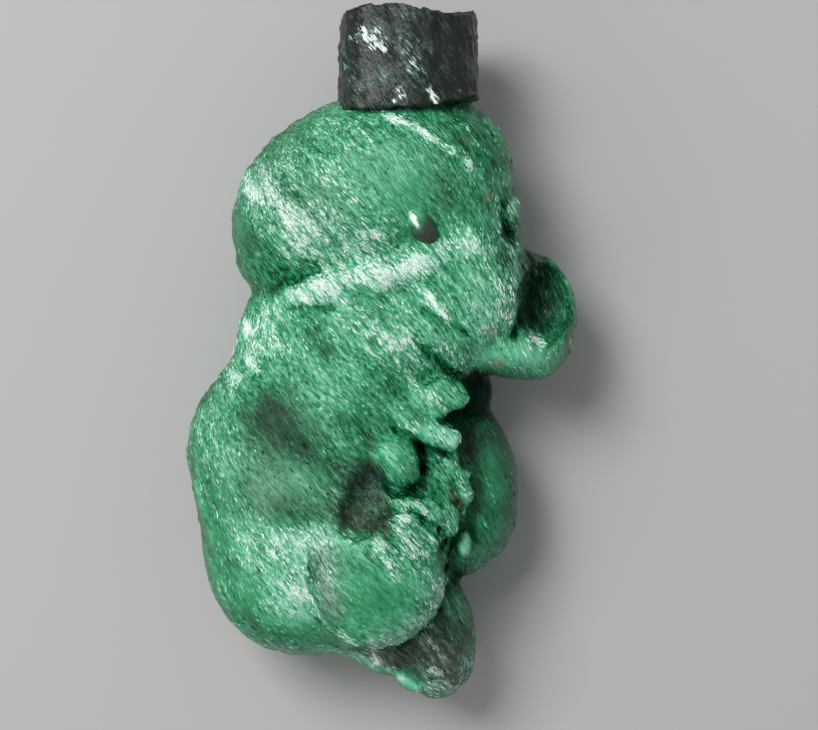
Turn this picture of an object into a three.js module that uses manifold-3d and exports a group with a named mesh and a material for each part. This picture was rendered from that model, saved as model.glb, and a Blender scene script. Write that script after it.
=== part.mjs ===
// A small hand specimen of fibrous malachite, grown as one piece: silky rounded
// lobes, a hollow cup of broken crust, a glassy foot and a dark splintered stub.
// It lies on its back. Millimetres: +X to the right of the face that is seen,
// +Y along the length towards the stub, +Z up from the back that it rests on.

import * as THREE from 'three';
import Module from 'manifold-3d';
import { mergeVertices } from 'three/addons/utils/BufferGeometryUtils.js';

// Driving dimensions
const overallLength = 41; // foot to stub
const overallWidth = 24;
const overallDepth = 17;
const middle = { x: 0.65, y: 1.35 }; // middle of the specimen in the layout of the forms below
const cell = 0.84; // spacing of the points where the skin is found
const stubSize = { width: 8.3, depth: 8.7, from: 15.85, to: 21.7, x: 2.25, z: 7.5 };
const stubSquareness = 3.2; // 2 is an ellipse, and a large value is a rectangle
const swell = { height: 0.15, spacing: 7 }; // slow swells of the botryoidal skin
const furrow = { height: 0.07, spacing: 2.2, length: 9 }; // furrows that follow the fibres
const fibreAngle = -52; // degrees from +X, seen from above

// Lumps grow out of each other and blend over the given width. Dents are taken away.
// at: centre. size: the three radii. turn, lean, nod: degrees about Z, Y and X.
const lump = (name, at, size, blend, turn = 0, lean = 0, nod = 0) => (
  { name, at, size, blend, turn, lean, nod });
const dent = (...form) => ({ ...lump(...form), cut: true });
// A ridge is a rounded bar between two points, with a radius at each end.
const ridge = (name, from, to, radii, blend) => ({ name, from, to, radii, blend });
const crease = (...form) => ({ ...ridge(...form), cut: true });
// A fold is a row of ridges through its points.
const fold = (name, points, radii, blend) => points.slice(1).map((point, index) => (
  ridge(name, points[index], point, [radii[index], radii[index + 1]], blend)));

const forms = [
  // the two great lobes and the neck between them
  lump('body', [-3.5, -4.4, 6.4], [7.45, 7.0, 6.8], 1.0),
  lump('belly', [-2.6, -9.6, 6.2], [7.45, 6.9, 7.3], 1.8),
  lump('lower left swelling', [-4.9, -12.0, 6.0], [3.9, 3.7, 5.6], 2.0, -35),
  lump('neck', [-0.7, 2.4, 6.6], [7.0, 5.0, 6.3], 2.5, -14),
  lump('upper lobe', [0.1, 11.1, 6.6], [8.6, 6.05, 6.8], 0.5, 20),
  lump('upper right swelling', [4.9, 11.4, 7.0], [3.5, 4.4, 5.3], 1.5, 8),
  lump('right shoulder', [5.6, 5.2, 7.2], [4.6, 4.3, 5.2], 2.4, -25),
  lump('overhang of the upper lobe', [-6.2, 7.2, 7.6], [1.5, 2.0, 2.6], 1.0, 12),
  ridge('raised streak', [1.6, 15.0, 9.9], [5.4, 12.9, 11.2], [0.6, 0.6], 0.8),

  // the bright band that crosses under the upper lobe
  ridge('band, left', [-6.3, 4.9, 8.2], [-3.2, 5.0, 11.2], [0.8, 1.2], 0.6),
  ridge('band, middle', [-3.2, 5.0, 11.2], [0.2, 5.8, 11.2], [1.2, 1.2], 0.5),
  ridge('band, right', [0.2, 5.8, 11.2], [5.8, 7.8, 11.2], [1.2, 1.0], 0.8),
  ridge('spur of the band', [3.1, 5.2, 11.8], [4.6, 3.6, 11.7], [0.45, 0.3], 0.5),

  // ledges that point to the right, over the notch
  ridge('upper ledge', [0.0, -0.3, 9.4], [5.0, -0.9, 10.0], [3.0, 0.8], 0.7),
  ridge('lower ledge', [0.6, -1.9, 9.8], [4.3, -3.0, 10.2], [2.3, 0.7], 0.3),

  // the lobes of the right side and the foot
  lump('cup', [9.3, 3.95, 6.0], [3.07, 3.75, 4.0], 0.5),
  lump('lip of the cup', [8.7, 1.72, 7.4], [3.0, 1.6, 3.0], 0.9, 2),
  lump('chin of the lip', [10.2, 1.1, 7.2], [0.75, 0.9, 2.2], 0.5),
  lump('right lobe', [4.75, -6.4, 4.8], [4.15, 5.7, 4.4], 0.5),
  lump('lower right of the right lobe', [6.4, -8.6, 4.8], [2.1, 2.2, 3.8], 0.8),
  lump('stone behind the notch', [5.7, -0.6, 4.9], [1.7, 2.4, 2.6], 0.5),
  lump('foot', [3.75, -15.3, 5.2], [2.55, 4.1, 3.9], 0.6, 6),
  lump('end of the foot', [4.35, -16.7, 5.0], [1.85, 2.2, 3.3], 0.5),
  lump('toe', [0.9, -16.2, 5.0], [3.6, 1.65, 3.2], 0.8, -24),
  lump('rough rise', [3.4, -7.4, 8.0], [2.3, 3.8, 3.4], 0.6, -12),
  lump('base of the front lobe', [0.9, -11.6, 9.4], [3.5, 3.5, 3.4], 0.4),
  lump('heel of the front lobe', [2.7, -10.2, 9.6], [1.9, 2.4, 3.0], 0.7),
  lump('front lobe', [0.6, -11.6, 12.3], [3.95, 3.95, 2.1], 0.12, 0, 9, 12),

  // folded bundles of fibres that run down from the ledges
  ...fold('outer fold', [
    [3.55, -4.2, 10.6], [4.7, -4.8, 11.0], [5.4, -5.7, 10.8], [5.6, -6.8, 10.4], [5.4, -7.8, 9.9],
  ], [0.7, 0.6, 0.55, 0.5, 0.45], 0.4),
  ...fold('second fold', [
    [3.5, -4.6, 10.9], [4.3, -5.7, 10.9], [4.8, -6.9, 10.6],
  ], [0.5, 0.55, 0.45], 0.4),
  ...fold('third fold', [
    [3.4, -5.4, 10.8], [4.0, -6.4, 10.9], [4.3, -7.0, 10.8],
  ], [0.45, 0.5, 0.45], 0.4),
  ...fold('curl', [
    [4.2, -7.0, 11.2], [4.8, -7.8, 11.3], [4.75, -8.5, 11.2], [4.1, -9.1, 11.0],
  ], [0.45, 0.5, 0.55, 0.5], 0.3),
  ...fold('inner bundle', [
    [1.4, -7.2, 11.9], [3.0, -7.3, 12.0], [3.8, -7.9, 11.8], [3.7, -8.6, 11.7],
  ], [0.6, 0.65, 0.6, 0.5], 0.45),
  ...fold('bundle over the front lobe', [
    [1.9, -8.4, 12.5], [3.0, -9.8, 12.2], [3.9, -11.3, 11.4],
  ], [0.8, 1.0, 0.7], 0.4),
  lump('knob', [1.65, -4.6, 11.5], [1.3, 1.8, 1.75], 0.6, 30),

  // hollows
  dent('pit beside the knob', [-0.3, -7.0, 13.7], [1.25, 2.1, 1.7], 0.35, -12),
  dent('hole under the knob', [3.1, -6.35, 12.5], [0.7, 0.45, 1.3], 0.25),
  dent('shallow dish', [-5.4, -2.8, 16.6], [3.2, 3.0, 4.2], 1.5),
  dent('socket of the drop', [3.2, 9.05, 13.7], [1.6, 0.9, 1.0], 0.2, -48),
  crease('crease of the shoulder', [2.9, 2.2, 12.6], [5.6, 0.0, 11.2], [0.25, 1.0], 0.2),

  // knobs of the back, which the specimen rests on
  lump('back knob, upper left', [-5.6, 9.2, 3.2], [2.6, 3.0, 2.6], 0.5),
  lump('back knob, top', [-1.2, 12.6, 2.6], [3.6, 3.0, 2.8], 0.5),
  lump('back knob, upper right', [4.2, 9.4, 2.6], [3.0, 3.2, 3.0], 0.5),
  lump('back knob, neck', [-3.6, 1.2, 2.4], [3.2, 3.4, 2.6], 0.6),
  lump('back knob, left', [-8.0, -5.4, 3.4], [2.4, 3.2, 2.6], 0.5),
  lump('back knob, lower left', [-4.4, -11.6, 2.4], [3.6, 3.4, 2.6], 0.5),
  lump('back knob, right', [4.6, 3.2, 3.6], [3.4, 3.0, 2.6], 0.5),
];

// Hard bits with faces of their own: slabs and crumbs that are flat, and rounded beads.
// at: centre. size: half the length, width and thickness, or the three radii.
const slab = (at, size, turn, lean) => (
  { at, size, turn, lean, shape: new THREE.BoxGeometry(2, 2, 2) });
const crumb = (at, size, turn, lean) => (
  { at, size, turn, lean, shape: new THREE.IcosahedronGeometry(1, 0) });
const bead = (at, size, turn, lean) => (
  { at, size, turn, lean, shape: new THREE.IcosahedronGeometry(1, 2) });
const bowl = (at, size, turn, lean) => (
  { at, size, turn, lean, shape: new THREE.IcosahedronGeometry(1, 5) });

const bits = [
  slab([3.35, -1.3, 10.9], [2.2, 1.0, 0.95], 28, 4), // top of the upper ledge
  slab([3.4, -3.05, 11.2], [1.8, 0.72, 0.8], -20, 7), // top of the lower ledge
  crumb([4.3, -10.3, 10.3], [0.8, 0.8, 1.1], -25, 0), // right of the front lobe
  bead([3.0, 9.05, 12.5], [0.7, 1.05, 0.75], 42, 0), // a drop of dark glassy stone
  bead([8.4, 9.75, 8.8], [0.68, 1.25, 1.4], 0, 0), // on the right edge of the upper lobe
  bead([5.55, -9.7, 9.2], [0.5, 0.85, 0.8], 0, 0), // on the right lobe
  bead([2.4, -18.1, 7.2], [0.95, 0.55, 0.7], -32, 0), // at the end of the foot
];

const cupHollow = bowl([10.4, 4.8, 10.9], [1.7, 3.0, 5.2], -6, -8);

// Shapes as signed distances, below zero inside

function framed(form) {
  const radians = THREE.MathUtils.degToRad;
  const turn = new THREE.Euler(radians(form.nod), radians(form.lean), radians(form.turn), 'XYZ');
  const back = new THREE.Matrix4().makeRotationFromEuler(turn).invert();
  return back.multiply(new THREE.Matrix4().makeTranslation(...form.at.map((value) => -value)));
}

function ellipsoid(form) {
  const inward = framed(form);
  const radii = new THREE.Vector3(...form.size);
  const squares = radii.clone().multiply(radii);
  const local = new THREE.Vector3();
  return (point) => {
    local.copy(point).applyMatrix4(inward);
    const slope = local.clone().divide(squares).length() + 1e-9;
    const reach = local.divide(radii).length();
    return (reach * (reach - 1)) / slope;
  };
}

function bar(form) {
  const start = new THREE.Vector3(...form.from);
  const along = new THREE.Vector3(...form.to).sub(start);
  const local = new THREE.Vector3();
  return (point) => {
    local.copy(point).sub(start);
    const share = THREE.MathUtils.clamp(local.dot(along) / along.lengthSq(), 0, 1);
    const radius = THREE.MathUtils.lerp(form.radii[0], form.radii[1], share);
    return local.addScaledVector(along, -share).length() - radius;
  };
}

// The smaller of two distances, with a rounded change over the blend width
function blended(a, b, width) {
  const near = Math.max(width - Math.abs(a - b), 0) / width;
  return Math.min(a, b) - (near * near * width) / 4;
}

// Slow swells and long furrows along the fibres, so that no lobe is a plain egg
function relief(point) {
  const angle = THREE.MathUtils.degToRad(fibreAngle);
  const along = point.x * Math.cos(angle) + point.y * Math.sin(angle);
  const across = point.y * Math.cos(angle) - point.x * Math.sin(angle);
  const wave = (value, length, shift) => Math.sin((2 * Math.PI * value) / length + shift);
  const slow = wave(point.x + 0.4 * point.z, swell.spacing, 0.7)
    * wave(point.y - 0.3 * point.x, swell.spacing * 1.1, 1.9)
    * wave(point.z + 0.5 * point.y, swell.spacing, 0);
  const fine = wave(across + 0.5 * Math.sin(along * 0.7), furrow.spacing, 0.4)
    * wave(along + 0.3 * across, furrow.length, 1.1);
  return swell.height * slow + furrow.height * fine;
}

const shapes = forms.map((form) => ({ form, distance: form.at ? ellipsoid(form) : bar(form) }));

function distanceAt(point) {
  let distance = shapes[0].distance(point);
  for (const shape of shapes.slice(1)) {
    const other = shape.distance(point);
    distance = shape.form.cut
      ? -blended(-distance, other, shape.form.blend)
      : blended(distance, other, shape.form.blend);
  }
  return distance + relief(point);
}

// The skin is found on a grid of points. Every cell that the surface passes through
// gets one vertex for each separate patch of surface in it, moved onto the surface,
// and every grid edge that the surface crosses gets a four-sided face round it.

const axes = [0, 1, 2];
const cornersOfCell = [0, 1, 2, 3, 4, 5, 6, 7];
const bitOf = (corner, axis) => (corner >> axis) & 1;
// An edge of a cell is named by its lower corner and the axis that it runs along.
const edgeBetween = (a, b) => Math.min(a, b) * 3 + Math.log2(a ^ b);
const sidesOfCell = axes.flatMap((axis) => [0, 1].map((side) => {
  const [u, v] = [(axis + 1) % 3, (axis + 2) % 3];
  return [[0, 0], [1, 0], [1, 1], [0, 1]].map(([a, b]) => (side << axis) | (a << u) | (b << v));
}));

// The crossed edges of a cell, grouped by patch: on each side of the cell, a run of
// corners inside the form joins the two crossed edges at its ends.
function patchesOf(inside) {
  const group = new Map();
  for (const corner of cornersOfCell) {
    for (const axis of axes) {
      const other = corner | (1 << axis);
      if (other !== corner && inside[corner] !== inside[other]) {
        group.set(edgeBetween(corner, other), edgeBetween(corner, other));
      }
    }
  }
  for (const ring of sidesOfCell) {
    for (let start = 0; start < 4; start += 1) {
      if (!inside[ring[start]] && inside[ring[(start + 1) % 4]]) {
        let end = start + 1;
        while (inside[ring[(end + 1) % 4]]) end += 1;
        const first = group.get(edgeBetween(ring[start], ring[(start + 1) % 4]));
        const last = group.get(edgeBetween(ring[end % 4], ring[(end + 1) % 4]));
        for (const [edge, patch] of group) if (patch === last) group.set(edge, first);
      }
    }
  }
  return group;
}

// A grid over a box, with the field's value at every point of it
function gridOf(field, low, high, step) {
  const counts = low.map((value, axis) => Math.ceil((high[axis] - value) / step) + 1);
  const strides = [1, counts[0], counts[0] * counts[1]];
  const place = (ijk) => new THREE.Vector3(...ijk.map((value, axis) => low[axis] + value * step));
  const each = (visit) => {
    for (let k = 0; k < counts[2]; k += 1) {
      for (let j = 0; j < counts[1]; j += 1) {
        for (let i = 0; i < counts[0]; i += 1) visit([i, j, k], i + j * strides[1] + k * strides[2]);
      }
    }
  };
  const values = new Float64Array(counts[0] * counts[1] * counts[2]);
  each((ijk, index) => { values[index] = field(place(ijk)); });
  return { field, step, counts, strides, place, each, values };
}

// Slides a point along the field's slope onto the surface
function settle(point, field, step) {
  const reach = step * 0.1;
  const slope = new THREE.Vector3();
  for (let round = 0; round < 3; round += 1) {
    for (const axis of axes) {
      const aside = new THREE.Vector3().setComponent(axis, reach);
      const rise = field(point.clone().add(aside)) - field(point.clone().sub(aside));
      slope.setComponent(axis, rise / (2 * reach));
    }
    point.addScaledVector(slope, -field(point) / Math.max(slope.lengthSq(), 0.2));
  }
}

function vertexForEveryPatch(grid, positions) {
  const { field, step, counts, strides, place, each, values } = grid;
  const vertexOf = new Map();
  each((ijk, index) => {
    if (ijk.some((value, axis) => value + 1 >= counts[axis])) return;
    const pointOf = (corner) => place(ijk.map((value, axis) => value + bitOf(corner, axis)));
    const valueOf = (corner) => values[index + axes.reduce(
      (sum, axis) => sum + bitOf(corner, axis) * strides[axis], 0,
    )];
    const group = patchesOf(cornersOfCell.map((corner) => valueOf(corner) < 0));
    const vertices = new Map();
    for (const patch of new Set(group.values())) {
      const point = new THREE.Vector3();
      const edges = [...group.keys()].filter((edge) => group.get(edge) === patch);
      for (const edge of edges) {
        const corner = Math.floor(edge / 3);
        const other = corner | (1 << (edge % 3));
        const [a, b] = [valueOf(corner), valueOf(other)];
        point.addScaledVector(pointOf(corner).lerp(pointOf(other), a / (a - b)), 1 / edges.length);
      }
      settle(point, field, step);
      const centre = place(ijk).addScalar(step / 2);
      const reach = step * 0.55;
      point.clamp(centre.clone().subScalar(reach), centre.clone().addScalar(reach));
      for (const edge of edges) vertices.set(edge, positions.length / 3);
      positions.push(...point);
    }
    vertexOf.set(index, vertices);
  });
  return vertexOf;
}

function skin(grid) {
  const { counts, strides, each, values } = grid;
  const positions = [];
  const vertexOf = vertexForEveryPatch(grid, positions);
  const indices = [];
  const cornerPoint = (number) => new THREE.Vector3().fromArray(positions, number * 3);
  each((ijk, index) => {
    for (const axis of axes) {
      const [u, v] = [(axis + 1) % 3, (axis + 2) % 3];
      const inGrid = ijk[axis] + 1 < counts[axis] && ijk[u] > 0 && ijk[v] > 0;
      const inside = values[index] < 0;
      if (inGrid && inside !== values[index + strides[axis]] < 0) {
        const ring = [[0, 0], [1, 0], [1, 1], [0, 1]].map(([a, b]) => {
          const cellIndex = index - a * strides[u] - b * strides[v];
          return vertexOf.get(cellIndex).get(((a << u) | (b << v)) * 3 + axis);
        });
        if (!inside) ring.reverse();
        const [a, b, c, d] = ring.map(cornerPoint);
        if (a.distanceTo(c) > b.distanceTo(d)) ring.push(ring.shift());
        indices.push(ring[0], ring[1], ring[2], ring[0], ring[2], ring[3]);
      }
    }
  });
  const geometry = new THREE.BufferGeometry();
  geometry.setAttribute('position', new THREE.Float32BufferAttribute(positions, 3));
  geometry.setIndex(indices);
  return geometry;
}

// Joining and cutting

const wasm = await Module();
wasm.setup();

function solid(geometry) {
  geometry.deleteAttribute('normal');
  geometry.deleteAttribute('uv');
  const merged = mergeVertices(geometry, 1e-4);
  return new wasm.Manifold(new wasm.Mesh({
    numProp: 3,
    vertProperties: new Float32Array(merged.attributes.position.array),
    triVerts: new Uint32Array(merged.index.array),
  }));
}

function bitSolid({ at, size, turn, lean, shape }) {
  shape.scale(...size);
  shape.rotateZ(THREE.MathUtils.degToRad(turn));
  shape.rotateY(THREE.MathUtils.degToRad(lean));
  shape.translate(...at);
  return solid(shape);
}

// The stub is a bundle of dark splinters broken off nearly square: a squarish prism
// whose sides step in and out a little, whose end is uneven and whose foot follows
// the curve of the upper lobe.
function stubSolid() {
  const { width, depth, from, to, x, z } = stubSize;
  const sides = 22;
  const outline = new THREE.Shape();
  for (let side = 0; side < sides; side += 1) {
    const angle = (2 * Math.PI * side) / sides;
    const [across, up] = [Math.cos(angle), Math.sin(angle)];
    const corner = (Math.abs(across) ** stubSquareness + Math.abs(up) ** stubSquareness)
      ** (-1 / stubSquareness);
    const reach = corner * (1 + 0.02 * Math.cos(3 * angle + 0.4) + 0.015 * Math.cos(7 * angle + 2));
    const point = [across * reach * width / 2, up * reach * depth / 2];
    if (side === 0) outline.moveTo(...point);
    else outline.lineTo(...point);
  }
  const geometry = new THREE.ExtrudeGeometry(
    outline, { depth: to - from, steps: 3, bevelEnabled: false },
  );
  geometry.rotateX(-Math.PI / 2);
  geometry.translate(x, from, z);
  const position = geometry.attributes.position;
  for (let index = 0; index < position.count; index += 1) {
    const point = new THREE.Vector3().fromBufferAttribute(position, index);
    const share = (point.y - from) / (to - from);
    const angle = Math.atan2(point.z - z, point.x - x);
    const taper = 1 - 0.02 * share + 0.015 * Math.sin(angle * 4 + share * 5);
    const broken = share > 0.99 ? 0.3 * Math.cos(angle * 3 + 0.5) : 0;
    const curve = share < 0.01 ? 0.045 * Math.max(point.x - 1.5, 0) ** 2 : 0;
    position.setXYZ(
      index, x + (point.x - x) * taper, point.y + broken + curve, z + (point.z - z) * taper,
    );
  }
  return solid(geometry);
}

// All that lies below the plane that the specimen rests on
function groundUnder() {
  const ground = new THREE.BoxGeometry(overallWidth * 2, overallLength * 2, overallDepth);
  ground.translate(0, 0, -overallDepth / 2);
  return solid(ground);
}

function specimen() {
  const half = [overallWidth / 2 + 1, overallLength / 2 + 1];
  const low = [middle.x - half[0], middle.y - half[1], -1.5];
  const high = [middle.x + half[0], middle.y + half[1], overallDepth];
  let whole = solid(skin(gridOf(distanceAt, low, high, cell)));
  whole = whole.add(stubSolid());
  for (const bit of bits) whole = whole.add(bitSolid(bit));
  whole = whole.subtract(bitSolid(cupHollow));
  return whole.subtract(groundUnder());
}

function geometryOf(manifold) {
  const mesh = manifold.getMesh();
  const geometry = new THREE.BufferGeometry();
  geometry.setAttribute('position', new THREE.Float32BufferAttribute(mesh.vertProperties, 3));
  geometry.setIndex(Array.from(mesh.triVerts));
  geometry.translate(-middle.x, -middle.y, 0);
  geometry.computeVertexNormals();
  return geometry;
}

const silkyGreen = new THREE.MeshStandardMaterial({ color: 0x4f9d73, roughness: 0.42, metalness: 0 });
const malachite = new THREE.Mesh(geometryOf(specimen()), silkyGreen);
malachite.name = 'malachite';

const group = new THREE.Group();
group.add(malachite);

export default group;
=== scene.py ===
# %% [markdown]
# # A hand specimen of fibrous malachite
# The specimen is a lump of silky green fibres about 41 mm long. It lies on its back
# on a pale table and the camera looks straight down on it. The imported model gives
# its size and place. This lesson grows a fine skin over the same lobes, lays a coat
# of fibres on it, and finishes each kind of surface with its own material.

# %% Load the frame
import math
import bpy
import numpy as np
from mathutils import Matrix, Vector


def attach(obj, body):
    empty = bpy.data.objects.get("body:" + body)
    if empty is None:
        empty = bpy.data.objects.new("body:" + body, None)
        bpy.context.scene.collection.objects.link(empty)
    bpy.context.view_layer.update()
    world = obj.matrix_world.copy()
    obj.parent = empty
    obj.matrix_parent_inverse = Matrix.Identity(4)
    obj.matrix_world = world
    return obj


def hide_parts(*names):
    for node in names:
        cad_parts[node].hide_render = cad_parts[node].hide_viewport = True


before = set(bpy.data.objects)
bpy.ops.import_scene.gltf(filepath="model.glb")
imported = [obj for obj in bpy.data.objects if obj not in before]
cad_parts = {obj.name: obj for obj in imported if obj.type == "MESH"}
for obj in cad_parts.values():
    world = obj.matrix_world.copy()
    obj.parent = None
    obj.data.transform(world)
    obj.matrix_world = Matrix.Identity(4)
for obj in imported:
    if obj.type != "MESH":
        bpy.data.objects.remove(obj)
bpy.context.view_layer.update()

MM = 0.001
TINY = 1e-9  # keeps a length that is divided by from being nought
NODE = "malachite"

# %% [markdown]
# ## Small helpers
# Colours are easiest to read as hex codes, but Blender's sockets want linear light,
# so one function turns one into the other. Node trees are easiest to read as one
# line a node, so another function adds a node with its settings and its links.

# %% Helpers for colours, nodes and objects
VECTORS = ("grain", "flow")  # the attributes of a piece that are not single values


def linear(code):
    """A hex colour such as "4f9d73" as linear red, green, blue and alpha."""
    channels = [int(code[i : i + 2], 16) / 255 for i in (0, 2, 4)]
    return [c / 12.92 if c <= 0.04045 else ((c + 0.055) / 1.055) ** 2.4 for c in channels] + [1.0]


def feed(tree, node, inputs):
    """Feeds a node's inputs, by name or number. A node stands for its first output."""
    for socket, value in inputs.items():
        if isinstance(value, bpy.types.Node):
            value = value.outputs[0]
        if isinstance(value, bpy.types.NodeSocket):
            tree.links.new(value, node.inputs[socket])
        else:
            node.inputs[socket].default_value = value


def add(tree, kind, inputs=None, **settings):
    """Adds a node with its settings and feeds its inputs."""
    node = tree.nodes.new(kind)
    for name, value in settings.items():
        setattr(node, name, value)
    feed(tree, node, inputs or {})
    return node


def begun(name, *attributes):
    """A new material, its node tree, its shader, and the attributes of the piece that it reads."""
    material = bpy.data.materials.new(name)
    material.use_nodes = True
    tree = material.node_tree
    read = {}
    for key in attributes:
        output = "Vector" if key in VECTORS else "Fac"
        read[key] = add(tree, "ShaderNodeAttribute", attribute_name=key).outputs[output]
    return material, tree, tree.nodes["Principled BSDF"], read


def placed(name, data):
    """An object of the mesh, lamp or camera given, put in the scene."""
    item = bpy.data.objects.new(name, data)
    bpy.context.scene.collection.objects.link(item)
    return item


print("helpers ready")

# %% [markdown]
# ## Camera
# The specimen is too small to stand unheld, so it lies down, and a camera that was
# level with it now looks straight down. One pixel of the frame covers 0.06 mm at
# the middle of the specimen's depth, which fixes the lens once the distance is set.

# %% Camera
MIDDLE = np.array([0.65, 1.35, 0.0])  # mm, the middle of the specimen in the layout below
PIXEL = 0.06  # mm of the specimen behind a pixel of the frame
FRAME_WIDTH = 818  # pixels
FRAME_CENTRE = np.array([2.34, 0.9, 0.0])  # mm, the layout point behind the middle of the frame
SENSOR = 36.0  # mm
CAMERA_DISTANCE = 140.0  # mm, from the plane that PIXEL is measured in
PLANE_HEIGHT = 7.5  # mm, that plane above the table
NEAREST = 0.01  # metres, the closest thing that the camera shows

camera = placed("camera", bpy.data.cameras.new("camera"))
camera.data.sensor_width = SENSOR
camera.data.lens = SENSOR * CAMERA_DISTANCE / (FRAME_WIDTH * PIXEL)
camera.data.clip_start = NEAREST
camera.location = (FRAME_CENTRE - MIDDLE + (0, 0, CAMERA_DISTANCE + PLANE_HEIGHT)) * MM
bpy.context.scene.camera = camera
print("lens, mm:", round(camera.data.lens, 1))

# %% [markdown]
# ## Table and light
# A soft lamp at the upper left brings out silk: each fibre shines where it lies
# square to the line halfway between lamp and eye. A low lamp at the lower left
# and a grey sky fill the shadows. The table is a plain pale sheet.

# %% Table and light
HALF_TABLE = 1.5  # metres

floor_mesh = bpy.data.meshes.new("table")
floor_mesh.from_pydata(
    [(x * HALF_TABLE, y * HALF_TABLE, 0) for x, y in ((-1, -1), (1, -1), (1, 1), (-1, 1))], [], [(0, 1, 2, 3)]
)
floor = placed("table", floor_mesh)

card, tree, shader, _ = begun("matt pale grey card")
feed(tree, shader, {"Base Color": linear("b9b8b7"), "Roughness": 0.9})
floor_mesh.materials.append(card)

world = bpy.data.worlds.new("grey sky")
world.use_nodes = True
feed(world.node_tree, world.node_tree.nodes["Background"], {"Color": linear("e9ebee"), "Strength": 0.42})
bpy.context.scene.world = world


def lamp(name, towards, distance, side, watts):
    """A square soft lamp that shines at the specimen from the direction given, in metres."""
    light = bpy.data.lights.new(name, "AREA")
    light.size = side
    light.energy = watts
    item = placed(name, light)
    direction = Vector(towards).normalized()
    item.location = direction * distance + Vector((0, 0, PLANE_HEIGHT * MM))
    item.rotation_euler = direction.to_track_quat("Z", "Y").to_euler()


lamp("key lamp", (-0.38, 0.36, 0.86), distance=0.30, side=0.12, watts=0.66)
lamp("fill lamp", (-0.70, -0.50, 0.60), distance=0.35, side=0.16, watts=0.15)
bpy.context.scene.view_settings.view_transform = "Standard"
print("lamps:", len(bpy.data.lights))

# %% [markdown]
# ## The lobes
# Malachite grows as rounded lobes that merge, so the specimen is laid out as a list
# of lumps, ridges and hollows, each with a blend width that says how softly it runs
# into the rest. A modelled mesh would need every crease pushed by hand. A distance
# field needs only this list: it gives, for any point, how far the skin is.

# %% The kinds of form, in millimetres
# at: centre. size: the three radii. turn, lean, nod: degrees about Z, Y and X.
# blend: how softly it joins the rest. cut: whether it is taken away instead, as for
# a dent or a crease.


def turned(turn, lean, nod):
    """The three axes of a form as the columns of a matrix."""
    axes = np.eye(3)
    for axis, angle in enumerate((nod, lean, turn)):
        u, v = (axis + 1) % 3, (axis + 2) % 3
        about = np.eye(3)
        about[u, u] = about[v, v] = math.cos(math.radians(angle))
        about[v, u] = math.sin(math.radians(angle))
        about[u, v] = -about[v, u]
        axes = axes @ about
    return axes.astype(np.float32)


def lump(at, size, blend, turn=0, lean=0, nod=0, cut=False):
    axes = turned(turn, lean, nod)
    centre, radii = np.array(at, np.float32), np.array(size, np.float32)

    def distance(points):
        local = (points - centre) @ axes
        reach = np.linalg.norm(local / radii, axis=-1)
        slope = np.linalg.norm(local / (radii * radii), axis=-1) + TINY
        return reach * (reach - 1) / slope

    return distance, blend, cut


def ridge(start, end, radii, blend, cut=False):
    """A round bar between two points, with a radius at each."""
    first = np.array(start, np.float32)
    along = np.array(end, np.float32) - first

    def distance(points):
        share = np.clip((points - first) @ along / (along @ along), 0, 1)
        radius = radii[0] + (radii[1] - radii[0]) * share
        return np.linalg.norm(points - first - share[..., None] * along, axis=-1) - radius

    return distance, blend, cut


def dent(*form, **turns):
    return lump(*form, **turns, cut=True)


def crease(*form):
    return ridge(*form, cut=True)


def plate(at, size, blend, turn=0, lean=0, nod=0, edge=0.25):
    """A slab. size: half its length, width and thickness. edge: how far its edges are rounded."""
    axes = turned(turn, lean, nod)
    centre, half_size = np.array(at, np.float32), np.array(size, np.float32) - edge

    def distance(points):
        past = np.abs((points - centre) @ axes) - half_size
        outside = np.linalg.norm(np.maximum(past, 0), axis=-1)
        return outside + np.minimum(past.max(axis=-1), 0) - edge

    return distance, blend, False


def chain(path, radii, blend):
    """A row of ridges through the points of the path."""
    ends = list(zip(path, radii))
    return [ridge(a, b, (wide, narrow), blend) for (a, wide), (b, narrow) in zip(ends, ends[1:])]


print("kinds of form:", [kind.__name__ for kind in (lump, ridge, dent, crease, plate, chain)])

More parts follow.
